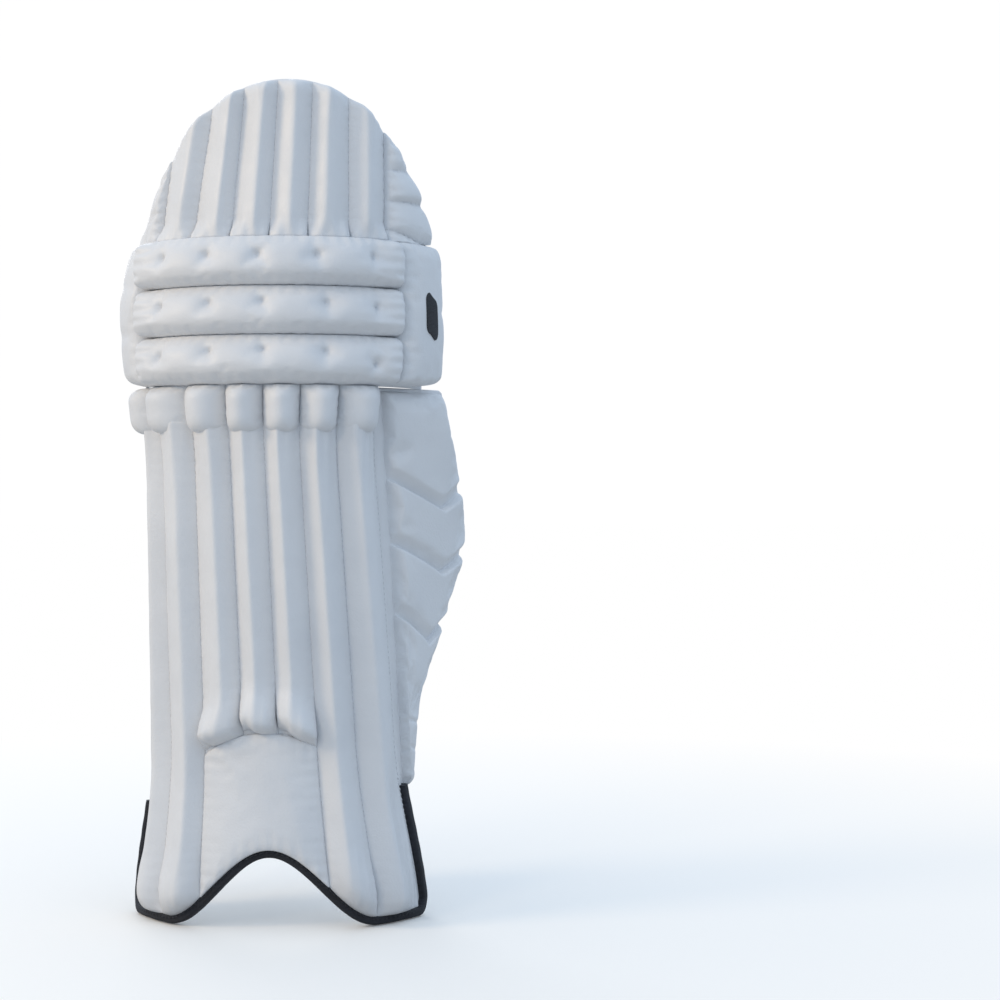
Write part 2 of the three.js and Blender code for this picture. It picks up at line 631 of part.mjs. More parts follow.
// The tab's route: sewn to the inside panel, round the ring's front bar and back onto itself.
function tabPath(section, fold) {
  const layer = (k) => STRAP_CLEARANCE + k * (STRAP_THICKNESS + GAP);
  const sewn = (k) => TAB_ANGLES.map((angle) => sectionPoint(section, angle, layer(k)));
  return [...sewn(0), ...fold, ...sewn(1).reverse()];
}

function addStrap(name, height, width) {
  const low = height - width / 2;
  const section = sewnSection(height, width);
  const rearBar = strapPoint(section, RING_ANGLE);
  const ringSpan = radToDeg((RING_OPENING + RING_BAR) / rearBar.length());
  const frontBar = strapPoint(section, RING_ANGLE + ringSpan);
  const ahead = frontBar.clone().sub(rearBar).normalize();
  const outwards = new THREE.Vector2(ahead.y, -ahead.x);

  const fold = foldRound(rearBar, outwards.clone().negate(), ahead);
  const band = bandPath(section, foamRight(height) - SEWN_LENGTH);
  addRibbon(`${name}_strap`, [...band, ...fold], low, width, WEBBING);
  addRibbon(`${name}_strap_tail`, tailPath(section, fold.at(-1), ahead), low, width, WEBBING);

  const ring = addMesh(`${name}_ring`, ringGeometry(width + 2 * GAP), RING_PLASTIC);
  const centre = frontBar.clone().add(rearBar).multiplyScalar(0.5);
  ring.position.set(centre.x, centre.y, height);
  ring.rotation.set(Math.PI / 2, 0, Math.atan2(ahead.y, ahead.x), "ZXY");

  const tabFold = foldRound(frontBar, outwards, ahead.clone().negate());
  addRibbon(`${name}_ring_tab`, tabPath(section, tabFold), low, width, WEBBING);
}

for (const [name, height] of Object.entries(STRAP_HEIGHTS)) addStrap(name, height, STRAP_WIDTHS[name]);

// ---- Origin: middle of the bounding box, on the floor ----
const box = new THREE.Box3().setFromObject(pad);
pad.position.set(-(box.min.x + box.max.x) / 2, -(box.min.y + box.max.y) / 2, -box.min.z);

export default pad;
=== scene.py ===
"""The finished look of a cricket leg pad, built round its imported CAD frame.

Lengths are millimetres and angles degrees until a mesh is made. A place on the pad is an angle round
the leg (0 in front, growing towards the calf wing), a height, and a distance outside the foam board.
"""
import json
import math

import bmesh
import bpy
import numpy as np
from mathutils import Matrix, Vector, noise


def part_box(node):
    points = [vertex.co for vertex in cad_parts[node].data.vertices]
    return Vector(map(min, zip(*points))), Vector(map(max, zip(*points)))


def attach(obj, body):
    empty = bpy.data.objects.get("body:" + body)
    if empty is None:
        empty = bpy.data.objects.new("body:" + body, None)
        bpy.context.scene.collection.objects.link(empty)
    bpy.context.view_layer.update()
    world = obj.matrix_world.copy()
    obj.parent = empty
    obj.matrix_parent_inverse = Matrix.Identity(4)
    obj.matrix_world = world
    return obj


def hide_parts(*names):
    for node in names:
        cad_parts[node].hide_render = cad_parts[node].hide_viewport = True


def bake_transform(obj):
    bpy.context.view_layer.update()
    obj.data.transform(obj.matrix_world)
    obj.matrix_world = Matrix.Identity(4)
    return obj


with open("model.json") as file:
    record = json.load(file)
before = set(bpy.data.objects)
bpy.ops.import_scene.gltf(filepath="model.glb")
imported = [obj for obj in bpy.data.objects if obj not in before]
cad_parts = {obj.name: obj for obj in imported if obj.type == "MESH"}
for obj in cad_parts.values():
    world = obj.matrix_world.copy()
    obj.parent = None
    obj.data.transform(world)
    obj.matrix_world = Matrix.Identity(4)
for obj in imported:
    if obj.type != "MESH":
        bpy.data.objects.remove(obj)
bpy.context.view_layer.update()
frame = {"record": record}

MM = 0.001
scene = bpy.context.scene

# ---- Frame: heights and the leg axis come from the CAD joints and nodes ----
JOINTS = {joint["name"]: joint for joint in frame["record"]["behaviour"]["joints"]}
FLEX_AXIS_Y = -30.0
knee_seam = np.array(JOINTS["knee_bend"]["pos_m"]) / MM
hat_seam = np.array(JOINTS["top_hat_bend"]["pos_m"]) / MM
LEG_AXIS = np.array([knee_seam[0], knee_seam[1] - FLEX_AXIS_Y, 0.0])
SHIN_TOP = knee_seam[2]
KNEE_TOP = hat_seam[2]
PAD_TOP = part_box("top_hat_foam")[1].z / MM
CAP_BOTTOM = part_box("knee_cap_1")[0].z / MM
INSTEP_TOP = 158.0
HAT_HEIGHT = PAD_TOP - KNEE_TOP
KNEE_HEIGHT = KNEE_TOP - SHIN_TOP
ROLL_HEIGHT = KNEE_HEIGHT / 3
HAT_SIDE_TOP = KNEE_TOP + 14  # the top hat is at least this tall at its back edges
BEND_RANGE = JOINTS["knee_bend"]["range_deg"][1]

# ---- Section of the foam board's outer face: half an ellipse round the leg axis ----
FLARE_HEIGHT = 150.0
SWELL_START = CAP_BOTTOM - 37
SWELL_END = (SHIN_TOP + KNEE_TOP) / 2
LEVELS = [0, FLARE_HEIGHT, SWELL_START, SWELL_END, KNEE_TOP, PAD_TOP]
WIDTHS = list(zip(LEVELS, (121, 106, 106, 117, 117, 110)))
DEPTHS = list(zip(LEVELS, (98, 86, 86, 88, 88, 80)))
ARC = 1.9  # usual length along the surface of one degree round the leg
FRONT_ARC = 2.05  # and across the knee's front

# ---- Layers, outwards from the foam board's outer face ----
FOAM_BACK = -8.0
LINING_BACK = -10.8
COVER_BACK = 0.6
LIP = 2.2  # the covers' seams
BINDING = 5.0
PINCH = 0.45  # share of the layers' thickness inside the binding
BINDING_TOPS = (92.0, 109.0)  # heights at which the binding ends, inside and on the wing side

# ---- Seams, in degrees round the leg ----
SHIN_TOPS = [-80, -61, -35, -16.5, -1, 14, 30, 49]
SHIN_FEET = [-72, -46, -25.5, -6, 9, 26.5, 46, 73]
HAT_BASES = [-50, -30.5, -13.5, 1.5, 16.2, 33, 50]
HAT_CROWNS = [-42, -23, -9.5, 4.5, 19, 35, 54]
SHORT_CHANNELS = (2, 3, 4)
SHIN_PEAKS = [0.75, 0.79, 0.7, 0.52, 0.41, 0.35, 0.31]  # where each channel's ridge runs, across its width
SHIN_RISES = [12.0, 14.5, 14.0, 13.5, 14.0, 15.0, 16.5]  # how far each ridge stands out
BULB_RISE = 21.0  # and where a channel is stuffed above its foot
HAT_PEAKS = [0.78, 0.76, 0.66, 0.52, 0.35, 0.3]
HAT_RISES = [11.0, 12.0, 12.0, 12.0, 13.0, 14.0]
ROLL_LEFT, ROLL_RIGHT, ROLL_LENGTH = -55.0, 53.0, 230.0
ROLL_RISE = 24.5
KNEE_BACK, KNEE_SIDE_LENGTH = 87.0, 62.0
KNEE_SIDE_HEIGHT = KNEE_HEIGHT - 1
HAT_BACK_LEFT, HAT_BACK_RIGHT, HAT_SIDE_LENGTH = -72.0, 84.0, 45.0
HAT_CENTRE = 9.0
ARCH_CENTRE, ARCH_HALF_ANGLE, ARCH_HEIGHT = 2.0, 44.0, 58.0
CORNER_START, CORNER_RISE = 26.0, 22.0
PANEL_BACK = -116.0
PANEL_FOOT, PANEL_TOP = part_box("inside_panel")[0].z / MM, SHIN_TOP - 8
QUILT_PITCH = 82.0
COVER_LAP = 0.8  # how far a cover hangs over a bending seam in front
SEAM_OVERLAP = 0.15  # neighbouring covers pass each other by this much, so that no slit shows between them
TUFTS = [[-38.5, -19.5, -1.4, 18.6, 39.5], [-40, -19, 0, 22, 41], [-41, -19.5, 0.3, 22, 41]]
TUFT_DROPS = [[0, 0, 0, 0, 0], [0, 1, 2, 1, -1], [-1, 2, 3, 1.5, -7]]
LABEL_SPAN, LABEL_LEVELS = (64, 72), (478, 512)

# ---- Calf wing ----
WING_FOOT, WING_TOP = 106.0, SHIN_TOP - 4
WING_COVER_TOP = SHIN_TOP - 3.8
WING_WIDTHS = [13, 30, 72, 106, 94, 76]
WING_START, WING_SPAN, WING_LENGTH = 6.9, 90.0, 330.0
WING_CURL = math.radians(0.13)
CHEVRONS = [(364, 339, 354), (310, 285, 300), (252, 227, 242)]  # heights at the root, the point and the edge
CHEVRON_POINT = 0.62

# ---- Straps ----
STRAPS = {"ankle": (104, 38), "calf": (246, 38), "knee": (372, 50)}
STRAP_THICKNESS = 2.4
STRAP_CLEARANCE = 2.8
LOOP_HALF_WIDTH, LOOP_BACK = 82.0, 80.0
RING_BAR, RING_OPENING, RING_ANGLE = 3.6, 11.0, 232.0
FOLD_RADIUS = RING_BAR * math.sqrt(0.5) + 0.5 + STRAP_THICKNESS / 2
STRAP_EASE, SEWN_ANGLE, TAIL_ANGLE, PEEL_GAP = 18.0, 18.0, 62.0, 1.2


# ======== Small numbers ========

def mix(low, high, share):
    return low + (high - low) * share


def ease(value, start=0.0, end=1.0):
    share = np.clip((value - start) / (end - start), 0, 1)
    return share * share * (3 - 2 * share)


def bump(distance, width):
    """1 at no distance, falling away smoothly over about the given width."""
    return np.exp(-0.5 * (distance / width) ** 2)


def ripple(points, size, seed):
    """Smooth unevenness between -1 and 1 with features of the given size, the same on every run."""
    flat = points.reshape(-1, 3) / size
    values = [noise.noise(Vector((p[0] + 17.3 * seed, p[1] - 5.1 * seed, p[2]))) for p in flat]
    return np.array(values).reshape(points.shape[:-1])


def at(curve, value):
    """A curve's value at one place."""
    return curve(np.array([float(value)]))[0]


def squarish(wave, power):
    """A sine or cosine wave with flatter tops, for sections between an oval and a rectangle."""
    return np.sign(wave) * np.abs(wave) ** power


def full_turn(count):
    return np.linspace(0, 2 * np.pi, count, endpoint=False)


def profile(stations, z):
    """A smooth value up the pad, through its stations."""
    value = np.full_like(z, stations[0][1], dtype=float)
    for (low, start), (high, end) in zip(stations, stations[1:]):
        value = np.where(z >= low, mix(start, end, ease(z, low, high)), value)
    return value


# ======== The pad's surface ========

def pad_points(angle, z, w):
    angle, z, w = np.broadcast_arrays(np.asarray(angle, float), np.asarray(z, float), np.asarray(w, float))
    t = np.radians(angle)
    x = (profile(WIDTHS, z) + w) * np.sin(t)
    y = -(profile(DEPTHS, z) + w) * np.cos(t)
    return np.stack([x, y, z], -1) + LEG_AXIS


def pad_normals(angle, z):
    t = np.radians(np.asarray(angle, float))
    z = np.asarray(z, float)
    x = profile(DEPTHS, z) * np.sin(t)
    y = -profile(WIDTHS, z) * np.cos(t)
    length = np.hypot(x, y)
    return np.stack([x / length, y / length, np.zeros_like(x)], -1)


def shin_share(z):
    return np.clip(z / CAP_BOTTOM, 0, 1)


def shin_edge(i):
    return lambda z: mix(SHIN_FEET[i], SHIN_TOPS[i], shin_share(z))


def hat_edge(i):
    return lambda z: mix(HAT_BASES[i], HAT_CROWNS[i], np.clip((z - KNEE_TOP) / HAT_HEIGHT, 0, 1))


def foam_left(z):
    return shin_edge(0)(z) - 5


def foam_right(z):
    return shin_edge(7)(z) + 5 * (1 - shin_share(z))


def bottom_edge(angle):
    """The foot's outline: a cosine arch over the ankle between two flat lobes with rounded outer corners."""
    away = np.abs(angle - ARCH_CENTRE)
    arch = ARCH_HEIGHT / 2 * (1 + np.cos(np.pi * np.minimum(away, ARCH_HALF_ANGLE) / ARCH_HALF_ANGLE))
    side = np.where(angle > 0, at(foam_right, 0) - ARCH_CENTRE, ARCH_CENTRE - at(foam_left, 0))
    start = ARCH_HALF_ANGLE + CORNER_START
    share = np.clip((away - start) / (side - start), 0, 1)
    return BINDING + arch + CORNER_RISE * (1 - np.sqrt(1 - share * share))


def instep_top(angle):
    return INSTEP_TOP - 16 * (angle / 26.0) ** 2


def dome_top(angle):
    return PAD_TOP - 22 * (np.abs(angle - HAT_CENTRE) / 34) ** 2.15


def hat_outline(angle):
    return np.maximum(dome_top(angle), HAT_SIDE_TOP)


def flex_room(y, gap=0.1):
    """Room left over a bending seam, behind the line that it bends about."""
    return gap + np.maximum(0, y - FLEX_AXIS_Y) * math.tan(math.radians(BEND_RANGE)) * 1.05


def always(value):
    return lambda other: np.full_like(other, value, dtype=float)


# ======== Meshes ========

def spaced(count, gather):
    even = np.linspace(0, 1, count + 1)
    return mix(even, 0.5 - 0.5 * np.cos(np.pi * even), gather)


def grid(across, up, gather=0.45):
    """Shares across and up a piece, gathered towards its seams."""
    return np.meshgrid(spaced(across, gather), spaced(up, gather), indexing="ij")


def place(left, right, low, high, s, v):
    """Angles and heights of shares s and v between sloping sides and curved ends."""
    z = np.full_like(s, SHIN_TOP)
    for _ in range(5):
        angle = mix(left(z), right(z), s)
        z = mix(low(angle), high(angle), v)
    return angle, z


def build(name, points, faces, smooth_angle=60):
    mesh = bpy.data.meshes.new(name)
    mesh.from_pydata((points.reshape(-1, 3) * MM).tolist(), [], faces)
    work = bmesh.new()
    work.from_mesh(mesh)
    bmesh.ops.recalc_face_normals(work, faces=work.faces)
    work.to_mesh(mesh)
    work.free()
    mesh.shade_smooth()
    mesh.set_sharp_from_angle(angle=math.radians(smooth_angle))
    piece = bpy.data.objects.new(name, mesh)
    scene.collection.objects.link(piece)
    return piece


def shell(name, outer, inner):
    """A closed piece between two grids of points that face each other."""
    across, up = outer.shape[:2]
    index = np.arange(across * up).reshape(across, up)
    quads = np.stack([index[:-1, :-1], index[1:, :-1], index[1:, 1:], index[:-1, 1:]], -1).reshape(-1, 4)
    rim = np.concatenate([index[:, 0], index[-1, 1:], index[-2::-1, -1], index[0, -2:0:-1]])
    after = np.roll(rim, -1)
    back = across * up
    walls = np.stack([after, rim, rim + back, after + back], -1)
    faces = np.concatenate([quads, quads[:, ::-1] + back, walls]).tolist()
    return build(name, np.concatenate([outer.reshape(-1, 3), inner.reshape(-1, 3)]), faces)


def sweep(name, rings, loops=False):
    """A tube through rings of points, with its two ends capped, or joined where it loops."""
    count, sides = rings.shape[:2]
    index = np.arange(count * sides).reshape(count, sides)
    beside = np.roll(index, -1, axis=1)
    quads = np.stack([index, beside, np.roll(beside, -1, axis=0), np.roll(index, -1, axis=0)], -1)
    if loops:
        return build(name, rings, quads.reshape(-1, 4).tolist())
    caps = [index[0][::-1].tolist(), index[-1].tolist()]
    return build(name, rings, quads[:-1].reshape(-1, 4).tolist() + caps)


def along(path):
    """Unit directions along a path of points."""
    step = np.gradient(path, axis=0)
    return step / np.linalg.norm(step, axis=1, keepdims=True)


def resample(path, pitch):
    lengths = np.concatenate([[0], np.cumsum(np.linalg.norm(np.diff(path, axis=0), axis=1))])
    places = np.linspace(0, lengths[-1], max(2, int(lengths[-1] / pitch) + 1))
    return np.stack([np.interp(places, lengths, path[:, k]) for k in range(path.shape[1])], -1)


def dress(piece, finish, body=None, nodes=()):
    """Gives a piece its material and body, and hides the CAD nodes that it stands for."""
    piece.data.materials.clear()
    piece.data.materials.append(finish)
    if body:
        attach(piece, body)
    if nodes:
        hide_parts(*nodes)
    return piece


def stitched(shape, inner_moves=False):
    """Points of a shell that a simulation holds: the rim of its moving side and the whole of the other."""
    edge = np.zeros(shape, bool)
    edge[[0, -1], :] = True
    edge[:, [0, -1]] = True
    parts = [edge.ravel(), np.ones(edge.size, bool)]
    return np.concatenate(parts[::-1] if inner_moves else parts)


def inflate(piece, pinned, pressure=3.0, cap=3.0, slack=0.015, frames=14):
    """Blows a stitched cover up by cloth simulation, moving no point further than cap."""
    mesh = piece.data
    rest = np.array([vertex.co for vertex in mesh.vertices])
    pin = piece.vertex_groups.new(name="stitched")
    pin.add([int(i) for i in np.flatnonzero(pinned)], 1.0, "REPLACE")
    modifier = piece.modifiers.new("Inflate", "CLOTH")
    cloth = modifier.settings
    cloth.quality = 4
    cloth.mass = 0.2
    cloth.tension_stiffness = cloth.compression_stiffness = 12
    cloth.shear_stiffness = 6
    cloth.bending_stiffness = 0.3
    cloth.use_pressure = True
    cloth.uniform_pressure_force = pressure
    cloth.shrink_min = -slack
    cloth.vertex_group_mass = "stitched"
    cloth.effector_weights.gravity = 0
    modifier.collision_settings.use_collision = False
    modifier.point_cache.frame_start = 1
    modifier.point_cache.frame_end = frames
    for step in range(1, frames + 1):
        scene.frame_set(step)
    shaped = piece.evaluated_get(bpy.context.evaluated_depsgraph_get()).data
    moved = np.array([vertex.co for vertex in shaped.vertices]) - rest
    distance = np.linalg.norm(moved, axis=1, keepdims=True)
    kept = rest + moved * np.minimum(1, cap * MM / np.maximum(distance, 1e-9))
    piece.modifiers.remove(modifier)
    piece.vertex_groups.clear()
    mesh.vertices.foreach_set("co", kept.astype(np.float32).ravel())
    mesh.update()
    scene.frame_set(1)
    return piece


def refine(piece, levels=1):
    modifier = piece.modifiers.new("Smooth", "SUBSURF")
    modifier.levels = modifier.render_levels = levels
    return piece


# ======== Materials ========

LEG_RADIUS = 95.0  # usual distance of the surface from the leg's axis


class Graph:
    """A material's node tree with short calls for the nodes that the finishes share."""

    def __init__(self, name):
        self.material = bpy.data.materials.new(name)
        self.material.use_nodes = True
        self.tree = self.material.node_tree
        self.shader = self.tree.nodes["Principled BSDF"]
        coordinates = self.add("ShaderNodeTexCoord")
        self.object = coordinates.outputs["Object"]

    def add(self, kind, inputs=(), **settings):
        node = self.tree.nodes.new(kind)
        for key, value in settings.items():
            setattr(node, key, value)
        for key, value in dict(inputs).items():
            if isinstance(value, bpy.types.NodeSocket):
                self.tree.links.new(value, node.inputs[key])
            else:
                node.inputs[key].default_value = value
        return node

    def math(self, operation, a, b=0.0):
        return self.add("ShaderNodeMath", {0: a, 1: b}, operation=operation).outputs[0]

    def noise(self, scale, detail=3.0, vector=None):
        inputs = {"Vector": vector or self.object, "Scale": scale, "Detail": detail}
        return self.add("ShaderNodeTexNoise", inputs).outputs["Fac"]

    def ramp(self, value, low, high, start=0.0, end=1.0):
        """value between low and high is spread to start and end."""
        inputs = {"Value": value, "From Min": low, "From Max": high, "To Min": start, "To Max": end}
        return self.add("ShaderNodeMapRange", inputs).outputs["Result"]

    def blend(self, share, first, second):
        """The first colour where share is 0 and the second where it is 1."""
        node = self.add("ShaderNodeMix", data_type="RGBA")
        self.tree.links.new(share, node.inputs["Factor"])
        colours = [socket for socket in node.inputs if socket.type == "RGBA"]
        for socket, value in zip(colours, (first, second)):
            if isinstance(value, bpy.types.NodeSocket):
                self.tree.links.new(value, socket)
            else:
                socket.default_value = (*value, 1)
        return next(socket for socket in node.outputs if socket.type == "RGBA")

    def wrapped(self):
        """Coordinates in metres round the leg and up it, so that a weave follows the pad's curve."""
        parts = self.add("ShaderNodeSeparateXYZ", {0: self.object}).outputs
        x = self.math("SUBTRACT", parts["X"], LEG_AXIS[0] * MM)
        y = self.math("SUBTRACT", parts["Y"], LEG_AXIS[1] * MM)
        turn = self.math("ARCTAN2", x, self.math("MULTIPLY", y, -1.0))
        round_leg = self.math("MULTIPLY", turn, LEG_RADIUS * MM)
        return self.add("ShaderNodeCombineXYZ", {"X": round_leg, "Y": parts["Z"]}).outputs[0]

    def wave(self, vector, direction, period, distortion=0.0):
        """Bands with the given period in millimetres."""
        scale = math.pi / (10 * period * MM)
        inputs = {"Vector": vector, "Scale": scale, "Distortion": distortion, "Detail Scale": 1.5}
        bands = self.add("ShaderNodeTexWave", inputs, bands_direction=direction, wave_type="BANDS")
        return bands.outputs["Fac"]

    def finish(self, colour, roughness, height=None, depth=0.1, **sockets):
        """Plugs in the colour, the roughness and the surface's relief, whose depth is in millimetres."""
        for label, value in (("Base Color", colour), ("Roughness", roughness)):
            socket = self.shader.inputs[label]
            if isinstance(value, bpy.types.NodeSocket):
                self.tree.links.new(value, socket)
            else:
                socket.default_value = (*value, 1) if isinstance(value, tuple) else value
        if height is not None:
            relief = self.add("ShaderNodeBump", {"Strength": 1.0, "Distance": depth * MM, "Height": height})
            self.tree.links.new(relief.outputs[0], self.shader.inputs["Normal"])
        for name, value in sockets.items():
            self.shader.inputs[name.replace("_", " ")].default_value = value
        return self.material


def cover_finish(name, clean, shade_and_dirt_colour, roughness):
    """White polyurethane leathercloth: fine pebbled grain, soft creases, painted shade darkening its concave
    folds, and slightly soiled patches.
    """
    graph = Graph(name)
    cells = graph.add("ShaderNodeTexVoronoi", {"Vector": graph.object, "Scale": 620.0}, feature="SMOOTH_F1")
    pebble = graph.math("MULTIPLY", cells.outputs["Distance"], 0.8)
    creases = graph.math("MULTIPLY", graph.noise(150.0, 5.0), 0.7)
    soft = graph.math("MULTIPLY", graph.noise(38.0, 2.0), 1.6)
    height = graph.math("ADD", graph.math("ADD", pebble, creases), soft)
    pointed = graph.add("ShaderNodeNewGeometry").outputs["Pointiness"]
    # painted shade: concave folds, where the pointiness is low, are darkened as if shadowed
    folds = graph.ramp(pointed, 0.44, 0.50, 1.0, 0.0)
    patches = graph.ramp(graph.noise(14.0, 4.0), 0.42, 0.72)
    # the darker colour is partly painted shade in the folds and partly dirt in random patches
    painted_shade_and_dirt = graph.math("MAXIMUM", graph.math("MULTIPLY", folds, 0.6), graph.math("MULTIPLY", patches, 0.35))
    colour = graph.blend(painted_shade_and_dirt, clean, shade_and_dirt_colour)
    polish = graph.ramp(graph.noise(60.0, 4.0), 0.3, 0.7, roughness - 0.07, roughness + 0.08)
    return graph.finish(colour, polish, height, 0.16, Specular_IOR_Level=0.45)


def lining_finish():
    """Brushed knit: small diamond loops under a soft nap."""
    graph = Graph("brushed_knit_lining")
    wrapped = graph.wrapped()
    loops = graph.math("MULTIPLY", graph.wave(wrapped, "X", 1.6, 0.6), graph.wave(wrapped, "Y", 1.9, 0.6))
    nap = graph.noise(900.0, 4.0)
    height = graph.math("ADD", loops, graph.math("MULTIPLY", nap, 0.7))
    shade = graph.ramp(graph.noise(22.0, 5.0), 0.35, 0.7)
    colour = graph.blend(shade, (0.74, 0.75, 0.77), (0.66, 0.67, 0.69))
    return graph.finish(colour, 0.93, height, 0.35, Sheen_Weight=0.35, Sheen_Roughness=0.6)


def foam_finish():
    graph = Graph("closed_cell_foam")
    cells = graph.add("ShaderNodeTexVoronoi", {"Vector": graph.object, "Scale": 900.0})
    colour = graph.blend(graph.noise(120.0), (0.70, 0.71, 0.73), (0.60, 0.61, 0.63))
    return graph.finish(colour, 0.9, cells.outputs["Distance"], 0.25)


def cane_finish():
    graph = Graph("split_cane")
    stretch = graph.add("ShaderNodeMapping", {"Vector": graph.object, "Scale": (400.0, 400.0, 14.0)})
    fibres = graph.noise(1.0, 5.0, stretch.outputs[0])
    colour = graph.blend(fibres, (0.62, 0.44, 0.22), (0.83, 0.68, 0.42))
    return graph.finish(colour, 0.5, fibres, 0.15)


def tape_finish(name, dark, light, period, roughness, sheen):
    """Woven tape: ribs along it and a finer weft across."""
    graph = Graph(name)
    wrapped = graph.wrapped()
    ribs = graph.wave(wrapped, "Y", period)
    weft = graph.wave(wrapped, "X", period * 0.6, 0.3)
    weave = graph.math("MULTIPLY", ribs, graph.math("ADD", weft, 0.35))
    height = graph.math("ADD", weave, graph.math("MULTIPLY", graph.noise(1400.0, 3.0), 0.35))
    worn = graph.math("MULTIPLY", graph.ramp(graph.noise(35.0, 4.0), 0.35, 0.75), 0.6)
    share = graph.math("ADD", graph.math("MULTIPLY", weave, 0.5), worn)
    return graph.finish(graph.blend(share, dark, light), roughness, height, 0.3, Sheen_Weight=sheen)


def nap_finish(name, dark, light, scale):
    """Hook or loop tape: a dense fuzz of tiny strands."""
    graph = Graph(name)
    cells = graph.add("ShaderNodeTexVoronoi", {"Vector": graph.object, "Scale": scale}, feature="F1")
    strands = cells.outputs["Distance"]
    tangle = graph.noise(scale * 0.8, 5.0)
    height = graph.math("ADD", strands, tangle)
    return graph.finish(graph.blend(strands, dark, light), 0.95, height, 0.5, Sheen_Weight=0.4)


def plastic_finish():
    graph = Graph("moulded_ring_plastic")
    scuffs = graph.ramp(graph.noise(420.0, 6.0), 0.4, 0.7, 0.28, 0.5)
    colour = graph.blend(graph.noise(60.0), (0.80, 0.80, 0.80), (0.74, 0.745, 0.76))
    return graph.finish(colour, scuffs, graph.noise(700.0, 2.0), 0.03)


def thread_finish(name, colour, shade):
    graph = Graph(name)
    twist = graph.add("ShaderNodeMapping", {"Vector": graph.object, "Rotation": (0.5, 0.5, 0.6)})
    strands = graph.wave(twist.outputs[0], "DIAGONAL", 0.5)
    return graph.finish(graph.blend(strands, colour, shade), 0.6, strands, 0.1)


# The second colour of each is darker: painted shade in concave folds, and dirt in random patches.
COVER = cover_finish("white_leathercloth", (0.80, 0.805, 0.815), (0.66, 0.675, 0.70), 0.46)
PIPING = cover_finish("white_edge_tape", (0.78, 0.785, 0.80), (0.62, 0.635, 0.66), 0.52)
LINING = lining_finish()
FOAM = foam_finish()
CANE = cane_finish()
BLACK = tape_finish("black_binding_tape", (0.004, 0.005, 0.008), (0.020, 0.023, 0.034), 1.1, 0.62, 0.05)
WEBBING = tape_finish("white_webbing", (0.52, 0.53, 0.56), (0.80, 0.805, 0.82), 1.5, 0.8, 0.25)
HOOK = nap_finish("hook_tape", (0.42, 0.43, 0.45), (0.66, 0.67, 0.69), 1300.0)
LOOP = nap_finish("loop_tape", (0.58, 0.59, 0.61), (0.80, 0.81, 0.82), 800.0)
PLASTIC = plastic_finish()
THREAD = thread_finish("white_thread", (0.78, 0.78, 0.78), (0.60, 0.61, 0.63))
BLACK_THREAD = thread_finish("black_thread", (0.01, 0.011, 0.016), (0.03, 0.032, 0.04))


# ======== Padded pieces on the pad's surface ========

def round_rise(share, power=2.4):
    """A padded piece's section: 0 at both seams, steep beside them and 1 in the middle."""
    return np.sqrt(np.clip(1 - np.abs(2 * share - 1) ** power, 0, 1))


def cane_ridge(share, peak, softness=0.13):
    """Section over a cane: two nearly flat faces that meet in a soft ridge nearer one seam."""
    side = np.where(share < peak, peak, 1 - peak)
    x = np.abs(share - peak) / side
    slope = (np.sqrt(x * x + softness ** 2) - softness) / (math.sqrt(1 + softness ** 2) - softness)
    return np.clip(1 - slope, 0, 1) ** 0.94


def sagging(share, peak=0.4, low=0.12, high=0.3):
    """Section up a stuffed roll: it curves steeply in to its lower seam and gently to its upper one."""
    under = np.sqrt(np.clip(1 - (1 - share / peak) ** 2, 0, 1))
    over = 1 - np.clip((share - peak) / (1 - peak), 0, 1) ** 2.1
    return np.where(share < peak, mix(low, 1, under), mix(high, 1, over))


def rounded_end(distance, radius):
    """0 at a piece's end, rising like a quarter circle to 1 at the radius."""
    x = np.clip(distance / radius, 0, 1)
    return np.sqrt(np.clip(1 - (1 - x) ** 2, 0, 1))


def seam_puckers(angle, z, share_across, share_up, pitch=9.0, depth=0.5):
    """Small gathers where the cover is stitched down, fading away from the seams."""
    round_leg = angle * ARC
    near_side = bump(np.minimum(share_across, 1 - share_across), 0.10)
    near_end = bump(np.minimum(share_up, 1 - share_up), 0.10)
    up_wave = np.sin(2 * np.pi * z / pitch + 0.9 * np.sin(z / 13.0))
    across_wave = np.sin(2 * np.pi * round_leg / pitch + 0.8 * np.sin(round_leg / 11.0))
    return depth * (near_side * up_wave + near_end * across_wave)


def padded_block(name, edges, cells, height, body, node, seed, flexes=False, unevenness=0.4, puff=None,
                 droop=0.0):
    """A padded piece: height(s, v, angle, z) is how far its cover stands out above its seams."""
    left, right, low, high = edges
    s, v = grid(*cells)
    sides = (lambda z: left(z) - SEAM_OVERLAP, lambda z: right(z) + SEAM_OVERLAP)
    angle, z = place(*sides, low, high, s, v)
    rise = height(s, v, angle, z)
    from_low = z - low(angle)
    z = z - droop * np.clip(rise / 12, 0, 1) * np.sin(np.pi * np.clip(from_low / 26, 0, 1))
    if flexes:
        z = z + (1 - v) * flex_room(pad_points(angle, z, LINING_BACK)[..., 1] - LEG_AXIS[1], -COVER_LAP)
    flat = pad_points(angle, z, 0)
    live = round_rise(s, 4) * round_rise(v, 4)
    rise = rise + live * unevenness * ripple(flat, 34.0, seed) + live * 0.35 * ripple(flat, 11.0, seed + 3)
    rise = rise + seam_puckers(angle, z, s, v) * np.clip(live * 3, 0, 1)
    piece = shell(name, pad_points(angle, z, LIP + rise), pad_points(angle, z, COVER_BACK))
    if puff:
        inflate(piece, stitched(s.shape), **puff)
    refine(piece)
    dress(piece, COVER, body, [node])


def from_middle(angle, seams, i):
    """0 midway between two seams and 1 at either."""
    return np.clip(np.abs(2 * (angle - seams[i]) / (seams[i + 1] - seams[i]) - 1), 0, 1)


